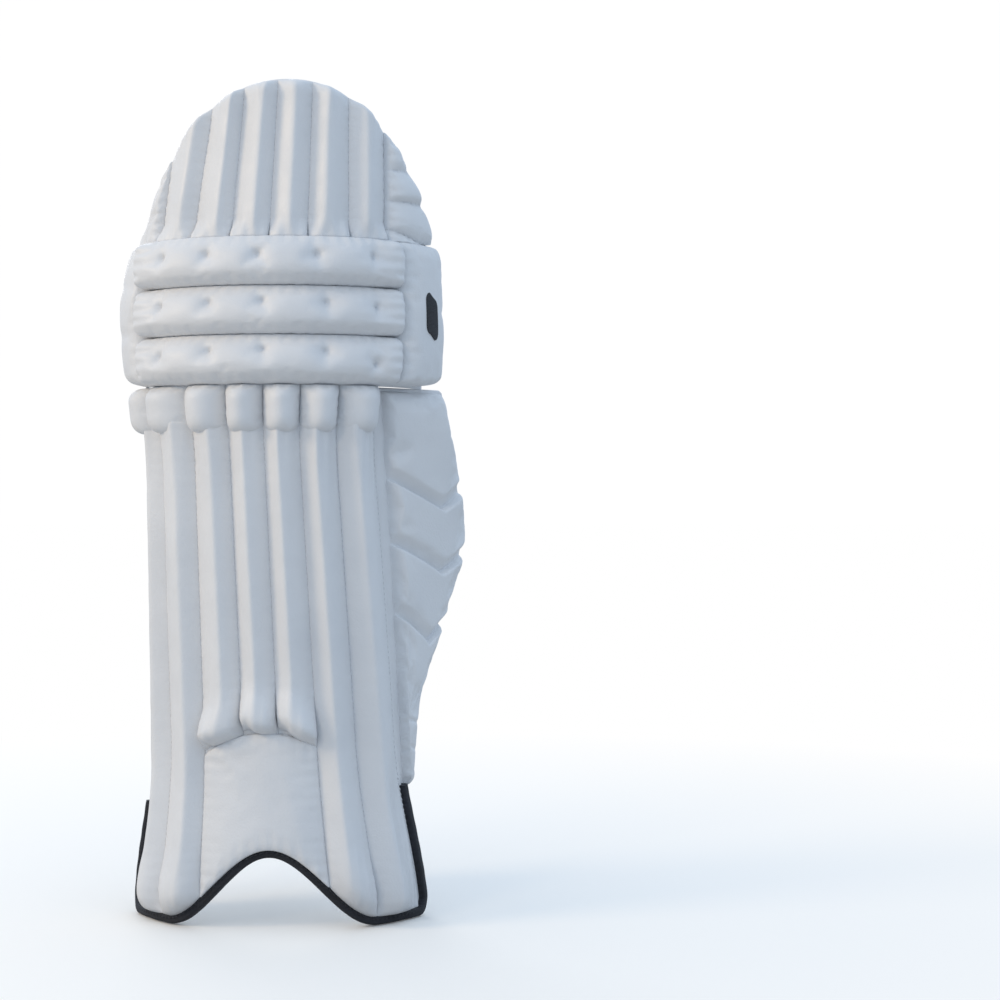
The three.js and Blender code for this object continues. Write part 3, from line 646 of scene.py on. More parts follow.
def shin_channel(i):
    """A channel over its cane, fuller where it is stuffed round the instep or at the foot."""
    short = i in SHORT_CHANNELS

    def foot(angle):
        if not short:
            return bottom_edge(angle) + 1.5
        return instep_top(angle) - 1.5 + 5 * from_middle(angle, SHIN_FEET, i) ** 3

    peak = SHIN_PEAKS[i]

    def height(s, v, angle, z):
        from_foot = z - foot(angle)
        bulb = bump(from_foot - 15, 11) if short else 0.5 * bump(from_foot - 22, 16)
        section = mix(cane_ridge(s, peak), round_rise(s, 2.2), np.clip(bulb * 0.95, 0, 1))
        rise = mix(SHIN_RISES[i], BULB_RISE, bulb) * section * rounded_end(from_foot, 16 if short else 17)
        outer = {0: 1 - s, 6: s}.get(i, 0 * s)
        return rise * (1 - 0.9 * ease(outer, 0.15, 0.95) * ease(FLARE_HEIGHT - z, 0, 60))

    edges = (shin_edge(i), shin_edge(i + 1), foot, always(CAP_BOTTOM + 8))
    padded_block(f"channel_cover_{i + 1}", edges, (26, 100), height, "shin", f"shin_channel_{i + 1}", i,
                 droop=3.0 if short else 0.0)


def shin_cane(i):
    """The cane inside a channel, hidden by the cover: a long strip with rounded edges and ends."""
    short = i in SHORT_CHANNELS
    foot = (lambda a: instep_top(a) + 20) if short else (lambda a: bottom_edge(a) + 21)
    left, right = shin_edge(i), shin_edge(i + 1)
    s, v = grid(6, 40)
    sides = [lambda z, share=share: mix(left(z), right(z), share) for share in (0.38, 0.62)]
    angle, z = place(*sides, foot, always(CAP_BOTTOM - 14), s, v)
    outer = pad_points(angle, z, 2.4 + 2.2 * round_rise(s, 3))
    piece = shell(f"cane_{i + 1}", outer, pad_points(angle, z, 1.7))
    dress(piece, CANE, "shin", [f"shin_cane_{i + 1}"])


def knee_cap(i):
    def height(s, v, angle, z):
        lower = mix(0.15, 1, rounded_end(z - low(angle), 17))
        upper = mix(0.2, 1, rounded_end(SHIN_TOP - z, 13))
        return 20.0 * np.clip(np.sin(np.pi * s), 0, 1) ** 0.68 * lower * upper

    def low(angle):
        return CAP_BOTTOM - 3 + 7 * from_middle(angle, SHIN_TOPS, i) ** 4

    edges = (always(SHIN_TOPS[i]), always(SHIN_TOPS[i + 1]), low, always(SHIN_TOP - 0.4))
    padded_block(f"cap_cover_{i + 1}", edges, (22, 24), height, "shin", f"knee_cap_{i + 1}", 20 + i,
                 droop=3.5, puff={"pressure": 4.0, "cap": 2.0})


def instep_panel():
    def height(s, v, angle, z):
        upper = mix(0.5, 1, rounded_end(instep_top(angle) - z, 22))
        return 6.0 * round_rise(s, 5) * upper * rounded_end(z - bottom_edge(angle), 9)

    edges = (shin_edge(2), shin_edge(5), lambda a: bottom_edge(a) + 1.5, instep_top)
    padded_block("instep_cover", edges, (40, 40), height, "shin", "instep_panel", 31,
                 unevenness=0.3, puff={"pressure": 2.0, "cap": 1.2, "slack": 0.004})


def tuft_height(row, k):
    return SHIN_TOP + (2.60 - row) * ROLL_HEIGHT + TUFT_DROPS[row][k]


def tuft_dents(row, angle, z):
    """Dents round a roll's tufts, each with a few creases running out of it."""
    total = np.zeros_like(z)
    for k, tuft in enumerate(TUFTS[row]):
        x = (angle - tuft) * FRONT_ARC
        y = z - tuft_height(row, k)
        r = np.hypot(x, y)
        creases = np.cos(4 * np.arctan2(y, x) + 1.7 * k + row)
        total += 5.0 * bump(r, 2.0) + 4.2 * bump(r, 6.0) + 0.35 * bump(r - 8, 4) * creases
    return total


def roll_rise(row, s, v, angle, z):
    """How far a knee roll stands out, less at its sewn ends and in its tufts' dents."""
    from_end = np.minimum(s, 1 - s) * ROLL_LENGTH
    ends = mix(0.58, 1, rounded_end(from_end, 9))
    near_end = 1 - ease(from_end, 4, 30)
    section = mix(sagging(v, 0.42, 0.32, 0.5 if row == 0 else 0.4), round_rise(v, 7), 0.8 * near_end)
    body = ROLL_RISE * section * ends
    return body - tuft_dents(row, angle, z) * np.clip(body / 14, 0, 1)


def knee_roll(row):
    top = KNEE_TOP - row * ROLL_HEIGHT
    lowest = row == 2
    low = top - ROLL_HEIGHT + (0 if lowest else -0.4)

    def height(s, v, angle, z):
        return roll_rise(row, s, v, angle, z)

    edges = (always(ROLL_LEFT), always(ROLL_RIGHT), always(low), always(top))
    padded_block(f"roll_cover_{row + 1}", edges, (130, 30), height, "knee_block", f"knee_roll_{row + 1}",
                 40 + row, flexes=lowest, unevenness=0.5, droop=1.0 if lowest else 2.2,
                 puff={"pressure": 3.0, "cap": 0.9, "slack": 0.005})


def knee_side_rise(near, v, wing_side):
    """How far a knee side panel stands out, near being 0 beside the rolls and 1 at the back."""
    fullness = 22.0 * (1 - 0.25 * v) if wing_side else 18.5 * (1 - 0.35 * ease(v, 0.55, 1.0))
    start = mix(0.2, 1, rounded_end(near * KNEE_SIDE_LENGTH, 7))
    pillow = fullness * start * rounded_end((1 - near) * KNEE_SIDE_LENGTH, 15)
    lower = mix(0.3, 1, rounded_end(v * KNEE_SIDE_HEIGHT, 10 if wing_side else 13))
    upper = mix(0.6, 1, rounded_end((1 - v) * KNEE_SIDE_HEIGHT, 14 if wing_side else 26))
    return pillow * lower * upper


def knee_side(name, left, right, node, seed):
    """A side panel. The inside one is drawn in by two pulls and arches a little over the knee caps."""
    wing_side = left > 0

    def height(s, v, angle, z):
        if wing_side:
            return knee_side_rise(s, v, wing_side)
        pulls = 1.4 * bump(v - 0.36, 0.03) + 1.1 * bump(v - 0.7, 0.03)
        return knee_side_rise(1 - s, v, wing_side) - pulls * round_rise(s, 3)

    def low(angle):
        arch = 0.0 if wing_side else 1.0
        return SHIN_TOP + arch * np.sin(np.pi * np.clip((angle - left) / (right - left), 0, 1))

    edges = (always(left), always(right), low, always(KNEE_TOP - 0.1))
    padded_block(name, edges, (30, 44), height, "knee_block", node, seed, flexes=True, droop=2.0,
                 puff={"pressure": 3.0, "cap": 2.0, "slack": 0.012})


def hat_channel(i):
    """A channel of the top hat: round beside the knee's seam and ridged above it."""
    def height(s, v, angle, z):
        above_base = ease(z - KNEE_TOP, 0, 16)
        section = mix(cane_ridge(s, HAT_PEAKS[i]), round_rise(s, 5), 1 - above_base)
        rise = mix(HAT_RISES[0], HAT_RISES[i], above_base)
        return rise * section * rounded_end(dome_top(angle) + 1 - z, 9)

    edges = (hat_edge(i), hat_edge(i + 1), always(KNEE_TOP), lambda a: dome_top(a) + 0.5)
    padded_block(f"top_hat_cover_{i + 1}", edges, (26, 44), height, "top_hat", f"top_hat_channel_{i + 1}",
                 60 + i, flexes=True)


def shingles(z, lines, low, high, peak=0.28):
    """Stuffed folds between lines that rise in order: each hangs over the one below it."""
    total = np.zeros_like(z)
    for lower, upper in zip(lines, lines[1:]):
        inside = (z >= lower) & (z < upper)
        share = np.clip((z - lower) / np.maximum(upper - lower, 1), 0, 1)
        total = np.where(inside, sagging(share, peak, low, high), total)
    return total


def inside_hat_back(z):
    return mix(HAT_BACK_LEFT, HAT_CROWNS[0] - 4, np.clip((z - KNEE_TOP) / HAT_HEIGHT, 0, 1))


def hat_side_top(angle):
    return np.maximum(dome_top(angle) + 0.5, HAT_SIDE_TOP)


def hat_side(name, node, wing_side, seed):
    """A side of the top hat, stuffed in folds whose lines slope on the wing side."""
    if wing_side:
        left, right = hat_edge(6), always(HAT_BACK_RIGHT)
        folds, slopes, rise = (568.0, 591.0, 616.0), (-15, 1, 3), 12.5
        drawn_in = {"low": 0.3, "high": 0.55}
    else:
        left, right = inside_hat_back, hat_edge(0)
        folds, slopes, rise = (582.0, 606.0, 631.0), (0, 0, 0), 7.5
        drawn_in = {"low": 0.75, "high": 0.85}

    def height(s, v, angle, z):
        near = s if wing_side else 1 - s
        between = [fold + slope * near for fold, slope in zip(folds, slopes)]
        lines = [KNEE_TOP - 9 + 0 * near, *between, PAD_TOP]
        start = mix(0.3, 1, rounded_end(near * HAT_SIDE_LENGTH, 10))
        back = mix(0.15, 1, rounded_end((1 - near) * HAT_SIDE_LENGTH, 14))
        upper = rounded_end(hat_side_top(angle) + 1 - z, 24)
        return rise * shingles(z, lines, **drawn_in) * start * (upper * back)

    edges = (left, right, always(KNEE_TOP), hat_side_top)
    padded_block(name, edges, (34, 76), height, "top_hat", node, seed, flexes=True, unevenness=0.3,
                 puff={"pressure": 2.5, "cap": 1.2})


def pinched(angle, z):
    """Share of the layers' thickness that is left where the binding presses them together."""
    to_inside = ARC * (angle - foam_left(z)) + np.maximum(0, z - BINDING_TOPS[0])
    to_wing = ARC * (foam_right(z) - angle) + np.maximum(0, z - BINDING_TOPS[1])
    to_edge = np.minimum(np.minimum(to_inside, to_wing), z - bottom_edge(angle))
    return mix(PINCH, 1, ease(to_edge, 1, 18))


def board(name, edges, cells, outside, inside, finish, body, node, flexes):
    """A foam board or a lining: an even layer that follows the pad's surface."""
    s, v = grid(*cells, 0.3)
    angle, z = place(*edges, s, v)
    if body == "shin":
        outside, inside = outside * pinched(angle, z), inside * pinched(angle, z)
    if flexes:
        z = z + (1 - v) * flex_room(pad_points(angle, z, LINING_BACK)[..., 1] - LEG_AXIS[1])
    piece = shell(name, pad_points(angle, z, outside), pad_points(angle, z, inside))
    dress(piece, finish, body, [node] if node else ())


def boards():
    shin = (foam_left, foam_right, bottom_edge, always(SHIN_TOP - 0.8))
    knee = (always(-KNEE_BACK), always(KNEE_BACK), always(SHIN_TOP), always(KNEE_TOP - 0.8))

    hat = (always(HAT_BACK_LEFT), always(HAT_BACK_RIGHT), always(KNEE_TOP), hat_outline)
    for part, body, edges, cells in (("shin", "shin", shin, (90, 60)),
                                     ("knee", "knee_block", knee, (80, 16)),
                                     ("top_hat", "top_hat", hat, (90, 24))):
        flexes = body != "shin"
        for layer, outside, inside, finish, slot, node in (
                ("board", 0.0, FOAM_BACK, FOAM, "foam", f"{part}_foam"),
                ("inner_lining", FOAM_BACK - 0.2, LINING_BACK, LINING, "lining", f"{part}_lining"),
                ("cover_base", 1.4, 0.2, COVER, "cover", None)):
            board(f"{part}_{layer}", edges, cells, outside, inside, finish, body, node, flexes)


def inner_pad(name, span, levels, cells, height, body, node, cap):
    """A padded piece on the lining, which rests on the leg. height(s, v, z) is how far it stands inwards."""
    s, v = grid(*cells)
    angle, z = place(*(always(value) for value in (*span, *levels)), s, v)
    inner = pad_points(angle, z, LINING_BACK - 0.4 - height(s, v, z))
    piece = shell(name, pad_points(angle, z, LINING_BACK - 0.3), inner)
    inflate(piece, stitched(s.shape, inner_moves=True), cap=cap)
    refine(piece)
    dress(piece, LINING, body, [node])


def bolster_height(s, v, z):
    ends = rounded_end(np.minimum(v, 1 - v) * (CAP_BOTTOM - INSTEP_TOP), 14)
    gathers = 0.5 * np.sin(z / 4.2) * bump(np.minimum(s, 1 - s), 0.15)
    return 1 + 10.5 * round_rise(s, 2.2) * ends + gathers * ends


def cushion_height(s, v, z):
    """Four cells side by side."""
    cells = 0.72 + 0.28 * np.abs(np.cos(np.pi * s * 4)) ** 0.35
    return 1 + 12.0 * round_rise(v, 2.6) * rounded_end(np.minimum(s, 1 - s) * 180, 20) * cells


def inner_pads():
    for side, centre in (("left", -21), ("right", 21)):
        inner_pad(f"bolster_{side}", (centre - 8, centre + 8), (INSTEP_TOP, CAP_BOTTOM), (18, 70),
                  bolster_height, "shin", f"shin_bolster_{side}", 1.5)
    inner_pad("knee_inner_cushion", (-46, 46), (SHIN_TOP + 18, KNEE_TOP - 18), (60, 30), cushion_height,
              "knee_block", "knee_cushion", 2.0)


def inside_panel():
    s, v = grid(36, 110, 0.3)
    edges = (always(PANEL_BACK), lambda z: foam_left(z) - 0.4, always(PANEL_FOOT), always(PANEL_TOP))
    angle, z = place(*edges, s, v)
    unevenness = 0.3 * ripple(pad_points(angle, z, 0), 25.0, 77)
    quilting = 1.4 * bump((z - PANEL_FOOT) % QUILT_PITCH - QUILT_PITCH / 2, 2.2)
    rise = 0.4 + 2.6 * round_rise(s, 3) * round_rise(v, 12) - quilting * round_rise(s, 6) + unevenness
    piece = shell("inside_panel_cover", pad_points(angle, z, rise), pad_points(angle, z, LINING_BACK))
    refine(piece)
    dress(piece, COVER, "shin", ["inside_panel"])


# ======== Calf wing ========

def wing_root(z):
    """Hinge line and heading of the wing at a height."""
    foot, top = np.array([WING_FOOT]), np.array([WING_TOP])
    low = pad_points(foam_right(foot), foot, 0)[0]
    high = pad_points(foam_right(top), top, 0)[0]
    share = ((z - WING_FOOT) / (WING_TOP - WING_FOOT))[..., None]
    t = np.radians(foam_right(z))
    heading = np.arctan2(profile(DEPTHS, z) * np.sin(t), profile(WIDTHS, z) * np.cos(t))
    return mix(low, high, share), heading


def wing_points(u, z, w):
    root, heading = wing_root(z)
    turned = heading + WING_CURL * u
    x = root[..., 0] + (np.sin(turned) - np.sin(heading)) / WING_CURL + w * np.sin(turned)
    y = root[..., 1] - (np.cos(turned) - np.cos(heading)) / WING_CURL - w * np.cos(turned)
    return np.stack([x, y, z], -1)


def wing_width(v):
    """Width of the wing up its height: a smooth curve through its even stations."""
    stations = np.array([WING_WIDTHS[0], *WING_WIDTHS, WING_WIDTHS[-1]], float)
    place_on = np.clip(v, 0, 1) * (len(WING_WIDTHS) - 1)
    i = np.minimum(place_on.astype(int), len(WING_WIDTHS) - 2)
    f = place_on - i
    p0, p1, p2, p3 = (stations[i + k] for k in range(4))
    return p1 + 0.5 * f * (p2 - p0 + f * (2 * p0 - 5 * p1 + 4 * p2 - p3 + f * (3 * (p1 - p2) + p3 - p0)))


def chevron_line(q, left, point, right):
    return np.where(q < CHEVRON_POINT, mix(left, point, q / CHEVRON_POINT),
                    mix(point, right, (q - CHEVRON_POINT) / (1 - CHEVRON_POINT)))


def tuck(above_line, depth=8.0, fold=11.0, lip=2.4):
    """A stitched tuck: the cover above folds in to the line, and the panel below starts sharply under it."""
    above = np.clip(1 - above_line / fold, 0, 1) ** 0.85
    below = ease(1 + above_line / lip)
    return depth * np.where(above_line > 0, above, below)


def wing_drop(q, z):
    """How far the tucks, and two short creases near the foot, pull the cover down."""
    total = np.zeros_like(z)
    for chevron in CHEVRONS:
        total += tuck(z - chevron_line(q, *chevron))
    for crease in (142.0, 164.0):
        total += 1.2 * bump(z - crease + 5 * q, 1.6) * bump(q - 0.3, 0.3)
    return total


def across_wing(q, z):
    """Distances from the hinge of shares q of the wing's width, which is drawn in where the tucks end."""
    scallop = sum(1.2 * bump(z - chevron_line(np.ones_like(z), *chevron), 4.0) for chevron in CHEVRONS)
    width = wing_width((z - WING_FOOT) / (WING_COVER_TOP - WING_FOOT))
    return mix(WING_START, width - 1.5 - scallop, q)


def calf_wing():
    """The wing's cover and lining, on a grid whose rows run along the tucks so that they stay crisp."""
    q, v = grid(44, 150, 0.2)
    root, point, edge = CHEVRONS[0]
    along_tucks = chevron_line(q, 0, point - root, edge - root)
    z = mix(WING_FOOT, WING_COVER_TOP, v) + along_tucks * ease(v, 0.05, 0.4) * ease(1 - v, 0, 0.2)
    u = across_wing(q, z)
    sides = rounded_end((1 - q) * WING_SPAN, 14) * rounded_end(q * WING_SPAN, 9)
    edge = sides * rounded_end((1 - v) * WING_LENGTH, 12) * rounded_end(v * WING_LENGTH, 12)
    flat = wing_points(u, z, 0)
    rise = 1.5 + 11.5 * edge - wing_drop(q, z) * edge + 0.6 * ripple(flat, 30.0, 91) * edge
    piece = shell("calf_wing_cover", wing_points(u, z, -6 + rise), wing_points(u, z, -6))
    inflate(piece, stitched(q.shape), pressure=2.5, cap=2.0, slack=0.02)
    refine(piece)
    dress(piece, COVER, "wing", ["calf_wing"])
    lining = shell("calf_wing_inner_lining", wing_points(u, z, -6.2), wing_points(u, z, -8.8 - 0.5 * edge))
    dress(lining, LINING, "wing", ["calf_wing_lining"])


# ======== Edges: binding, piping, seams and their stitches ========

def tape(name, path, out, thick, half_out, half_thick, finish, body, nodes=()):
    """A folded tape over an edge. path is the edge's middle, out points away from it and thick across it."""
    turn = full_turn(20)
    across = squarish(np.cos(turn), 0.55)[None, :, None]
    through = squarish(np.sin(turn), 0.55)[None, :, None]
    half_thick = np.broadcast_to(half_thick, len(path))[:, None, None]
    rings = path[:, None] + half_out * across * out[:, None] + half_thick * through * thick[:, None]
    dress(sweep(name, rings), finish, body, nodes)


def edge_tape(name, angle, z, body, finish=PIPING, slot="cover", half_out=3.4, lift=0.6, shift=1.2,
              low=LINING_BACK, high=LIP, nodes=(), floor=None, side_lift=0.0):
    """Tape over an edge of the pad's own surface, given by its angles and heights."""
    middle = resample(np.stack([angle * ARC, z], -1), 2.5)
    angle, z = middle[:, 0] / ARC, middle[:, 1]
    path = pad_points(angle, z, (low + high) / 2)
    thick = pad_normals(angle, z)
    out = np.cross(along(path), thick)
    out /= np.linalg.norm(out, axis=1, keepdims=True)
    half_thick = (high - low) / 2 + lift + 0.12 * np.sin(np.arange(len(path)) * 0.9)
    at_side = ease(np.abs(angle - ARCH_CENTRE), 58, 76)[:, None]
    centre = path + out * shift + thick * side_lift * at_side
    if floor is not None:
        centre[:, 2] = np.maximum(centre[:, 2], floor + half_out * np.abs(out[:, 2]))
    tape(name, centre, out, thick, half_out, half_thick, finish, body, nodes)


STITCH_PITCH, STITCH_LENGTH, STITCH_RADIUS = 4.4, 3.2, 0.42


def stitches(name, rows, body, finish=THREAD):
    """Rows of thread stitches, fat in the middle and sunk at their ends. A row is its points and normals."""
    sides = full_turn(6)
    stations = np.array([-0.5, -0.3, 0.0, 0.3, 0.5])
    girths = np.array([0.35, 0.9, 1.0, 0.9, 0.35])
    sinks = np.array([-0.55, 0.05, 0.25, 0.05, -0.55])
    index = np.arange(len(stations) * len(sides)).reshape(len(stations), len(sides))
    beside = np.roll(index, -1, axis=1)
    one_stitch = np.stack([index[:-1], beside[:-1], beside[1:], index[1:]], -1).reshape(-1, 4)
    first_end, last_end = index[0][::-1], index[-1]
    points, faces = [], []
    for path, normal in rows:
        both = resample(np.concatenate([path, normal], 1), STITCH_PITCH)
        path, normal = both[:, :3], both[:, 3:]
        normal /= np.linalg.norm(normal, axis=1, keepdims=True)
        direction = along(path)
        side = np.cross(direction, normal)
        for k in range(len(path) - 1):
            middle = (path[k] + path[k + 1]) / 2
            base = len(points) * len(stations) * len(sides)
            spine = middle + stations[:, None] * STITCH_LENGTH * direction[k] + sinks[:, None] * normal[k]
            ring = np.cos(sides)[None, :, None] * side[k] + np.sin(sides)[None, :, None] * normal[k]
            points.append((spine[:, None] + girths[:, None, None] * STITCH_RADIUS * ring).reshape(-1, 3))
            faces.extend((one_stitch + base).tolist())
            faces.append((first_end + base).tolist())
            faces.append((last_end + base).tolist())
    dress(build(name, np.concatenate(points), faces), finish, body)


def seam_row(angle, z, w):
    angle, z = np.broadcast_arrays(np.asarray(angle, float), np.asarray(z, float))
    return pad_points(angle, z, w), pad_normals(angle, z)


def foot_outline():
    """Angles and heights down the inside edge, across the foot and up the wing side."""
    inside = np.linspace(BINDING_TOPS[0], BINDING + CORNER_RISE, 20)
    wing_side = np.linspace(BINDING + CORNER_RISE, BINDING_TOPS[1], 20)
    across = mix(at(foam_left, 0), at(foam_right, 0), spaced(220, 1.0))
    z = np.concatenate([inside[:-1], bottom_edge(across), wing_side[1:]])
    angle = np.concatenate([foam_left(inside)[:-1], across, foam_right(wing_side)[1:]])
    angle = np.clip(angle, foam_left(z), foam_right(z))
    return angle, z


def bound_edges():
    """The foot's binding, and piping round the top hat, the knee's back edges and the inside panel."""
    edge_tape("foot_binding", *foot_outline(), "shin", BLACK, "binding", half_out=3.9, lift=0.8, shift=0.9,
              low=LINING_BACK * PINCH, high=LIP + 0.6, nodes=["bottom_binding"], floor=0.0, side_lift=2.8)
    dome = np.linspace(HAT_BACK_LEFT, HAT_BACK_RIGHT, 160)
    edge_tape("top_hat_piping", dome, hat_outline(dome), "top_hat", half_out=2.4, lift=0.2, shift=0.2,
              high=0.0)
    z = np.linspace(KNEE_TOP - 2, SHIN_TOP + 6.5, 30)
    edge_tape("knee_piping_inside", np.full(30, 0.6 - KNEE_BACK), z, "knee_block", shift=0.4)
    edge_tape("knee_piping_wing", np.full(30, KNEE_BACK - 0.6), z[::-1], "knee_block", shift=0.4)
    along_top = np.linspace(at(foam_left, SHIN_TOP) - 1, PANEL_BACK, 14)
    along_foot = np.linspace(PANEL_BACK, at(foam_left, PANEL_FOOT) - 1, 14)
    angle = np.concatenate([along_top[:-1], np.full(60, PANEL_BACK), along_foot[1:]])
    down = np.linspace(PANEL_TOP, PANEL_FOOT, 60)
    z = np.concatenate([np.full(13, PANEL_TOP), down, np.full(13, PANEL_FOOT)])
    edge_tape("inside_panel_piping", angle, z, "shin", shift=-0.8, high=1.2)


def seam_stitches():
    """Stitches along the covers' seams and the foot's binding."""
    rows = []
    for i in range(8):
        z = np.linspace(30, CAP_BOTTOM, 60)
        z = z[z > INSTEP_TOP + 7] if i in (3, 4) else z
        rows.append(seam_row(shin_edge(i)(z), z, LIP + 0.2))
    arch = np.linspace(-28, 27.5, 30)
    rows.append(seam_row(arch, instep_top(arch), LIP + 0.1))
    rows.append(seam_row(np.linspace(-79, 48, 60), CAP_BOTTOM - 1.0, LIP + 0.4))
    stitches("shin_stitches", rows, "shin")
    rolls = np.linspace(ROLL_LEFT, ROLL_RIGHT, 60)
    z = np.linspace(SHIN_TOP + 4, KNEE_TOP - 4, 30)
    rows = [seam_row(rolls, KNEE_TOP - k * ROLL_HEIGHT, LIP + 0.3) for k in (1, 2)]
    rows += [seam_row(side, z, LIP + 0.3) for side in (ROLL_LEFT, ROLL_RIGHT)]
    stitches("knee_stitches", rows, "knee_block")
    z = np.linspace(KNEE_TOP + 3, PAD_TOP, 60)
    rows = []
    for i in range(7):
        angle = hat_edge(i)(z)
        keep = z < dome_top(angle) - 5
        rows.append(seam_row(angle[keep], z[keep], LIP + 0.2))
    stitches("top_hat_stitches", rows, "top_hat")
    angle, z = foot_outline()
    row = seam_row(angle[8:-8], z[8:-8], LIP + 2.2)
    stitches("binding_stitches", [row], "shin", BLACK_THREAD)


def wing_piping():
    v = np.concatenate([np.zeros(20), np.linspace(0, 1, 120), np.ones(24)])
    q = np.concatenate([np.linspace(0, 1, 20), np.ones(120), np.linspace(1, 0, 24)])
    z = mix(WING_FOOT, WING_COVER_TOP, v)
    path = resample(wing_points(across_wing(q, z), z, -6.5), 2.5)
    heights = path[:, 2]
    root, heading = wing_root(heights)
    reach = np.linalg.norm((path - root)[:, :2], axis=1)
    turned = heading + WING_CURL * reach
    thick = np.stack([np.sin(turned), -np.cos(turned), np.zeros_like(turned)], -1)
    out = np.cross(thick, along(path))
    out /= np.linalg.norm(out, axis=1, keepdims=True)
    tape("calf_wing_piping", path, out, thick, 2.6, 3.2, PIPING, "wing")


# ======== Cloth that crosses the pad's hinges ========

def gusset(name, seam, lower, upper, left, right, outside, inside, finish, slot, drop=7.0):
    """A soft strip behind a bending seam."""
    s, v = grid(90, 14, 0.0)
    angle = mix(left, right, s)
    z = mix(seam - drop, seam + 9, v)
    fold = 0.5 * np.sin(np.pi * v)
    piece = shell(name, pad_points(angle, z, outside - fold), pad_points(angle, z, inside - fold))
    dress(piece, finish)
    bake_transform(piece)


def gussets():
    """Strips behind each seam under the covers and the linings, and shallower ones beside the covers."""
    knee, hat = (SHIN_TOP, "shin", "knee_block"), (KNEE_TOP, "knee_block", "top_hat")
    for part, seam, span in (("knee", knee, (-79, 48.5)), ("top_hat", hat, (-70, 82))):
        gusset(f"{part}_gusset", *seam, *span, 0.15, -0.6, COVER, "cover")
        gusset(f"{part}_lining_gusset", *seam, *span, LINING_BACK + 0.5, LINING_BACK - 0.2, LINING, "lining")
    for part, seam, span in (("knee_wing", knee, (48.5, 86)), ("knee_inside", knee, (-86, -78)),
                             ("hat_wing", hat, (50, 84)), ("hat_inside", hat, (-72, -50))):
        gusset(f"{part}_side_gusset", *seam, *span, 5.5, 3.5, COVER, "cover", drop=1.2)


def wing_fold():
    """The soft hinge between the shin and the calf wing."""
    s, v = grid(12, 90, 0.0)
    z = mix(WING_FOOT + 3, WING_TOP - 2, v)
    u = mix(-5.0, WING_START + 5, s)
    outer = wing_points(u, z, -3.2 + 1.2 * np.sin(np.pi * s))
    inner = wing_points(u, z, -7.6)
    piece = shell("calf_wing_fold", outer, inner)
    dress(piece, COVER)
    axis = np.array(JOINTS["calf_wing_fold"]["axis"])
    _, heading = wing_root(np.array([(WING_FOOT + WING_TOP) / 2]))
    direction = np.array([math.cos(heading[0]), math.sin(heading[0]), 0.0])
    direction -= axis * direction.dot(axis)
    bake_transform(piece)


# ======== Straps ========

def strap_place(angle, z, offset=0.0):
    """The straps' route seen from above: the lining's oval, easing into a closer one behind the leg."""
    t = np.radians(angle)
    share = ease(np.abs(np.where(angle > 180, angle - 360, angle)), 45, 100)
    height = np.full_like(t, z)
    layer = LINING_BACK - STRAP_CLEARANCE
    x = mix(profile(WIDTHS, height) + layer, LOOP_HALF_WIDTH, share)
    y = mix(profile(DEPTHS, height) + layer, LOOP_BACK, share)
    return np.stack([(x + offset) * np.sin(t), -(y + offset) * np.cos(t)], -1) + LEG_AXIS[:2]


def fold_round(bar, start, ahead):
    """Half a turn of webbing round a ring's bar."""
    turn = np.linspace(0, np.pi, 13)[:, None]
    return bar + FOLD_RADIUS * (start * np.cos(turn) + ahead * np.sin(turn))


def strap_routes(name):
    """Routes of a strap's band, fold, tail and tab, with its ring's two bars."""
    height, _ = STRAPS[name]
    rear = strap_place(np.array([RING_ANGLE]), height)[0]
    step = math.degrees((RING_OPENING + RING_BAR) / np.linalg.norm(rear - LEG_AXIS[:2]))
    front = strap_place(np.array([RING_ANGLE + step]), height)[0]
    ahead = (front - rear) / np.linalg.norm(front - rear)
    outwards = np.array([ahead[1], -ahead[0]])
    sewn = at(foam_right, height)
    angle = np.linspace(sewn - SEWN_ANGLE, RING_ANGLE, 90)
    band = strap_place(angle, height, -FOLD_RADIUS * ease(angle, RING_ANGLE - STRAP_EASE, RING_ANGLE))
    fold = fold_round(rear, -outwards, ahead)
    angle = np.linspace(RING_ANGLE, RING_ANGLE - TAIL_ANGLE, 48)[1:]
    near_ring = ease(angle, RING_ANGLE - STRAP_EASE, RING_ANGLE)
    tail = strap_place(angle, height, mix(STRAP_THICKNESS + PEEL_GAP, FOLD_RADIUS, near_ring))

    def panel(angle, layer):
        w = LINING_BACK - STRAP_CLEARANCE - layer * (STRAP_THICKNESS + 0.8)
        return pad_points([angle], [float(height)], w)[0][:2]

    near_side = [panel(angle, 0) for angle in (-90, -96, -100)]
    far_side = [panel(angle, 1) for angle in (-100, -96, -90)]
    tab = np.vstack([*near_side, fold_round(front, outwards, -ahead), *far_side])
    return band, fold, tail, tab, front, rear


def ribbon(name, route, height, width, thickness=STRAP_THICKNESS, offset=0.0, taper=0.0):
    """Webbing on edge along a route seen from above, with soft edges and a slightly narrower end."""
    route = resample(route, 2.5)
    direction = along(route)
    normal = np.stack([direction[:, 1], -direction[:, 0]], -1)
    turn = full_turn(24)
    up, through = squarish(np.sin(turn), 0.25), squarish(np.cos(turn), 0.7)[None, :, None]
    half = width / 2 - taper * ease(np.linspace(0, 1, len(route)), 0.86, 1.0)
    rings = np.empty((len(route), len(turn), 3))
    rings[..., :2] = (route + offset * normal)[:, None] + through * (thickness / 2) * normal[:, None]
    rings[..., 2] = height + half[:, None] * up[None]
    return sweep(name, rings)


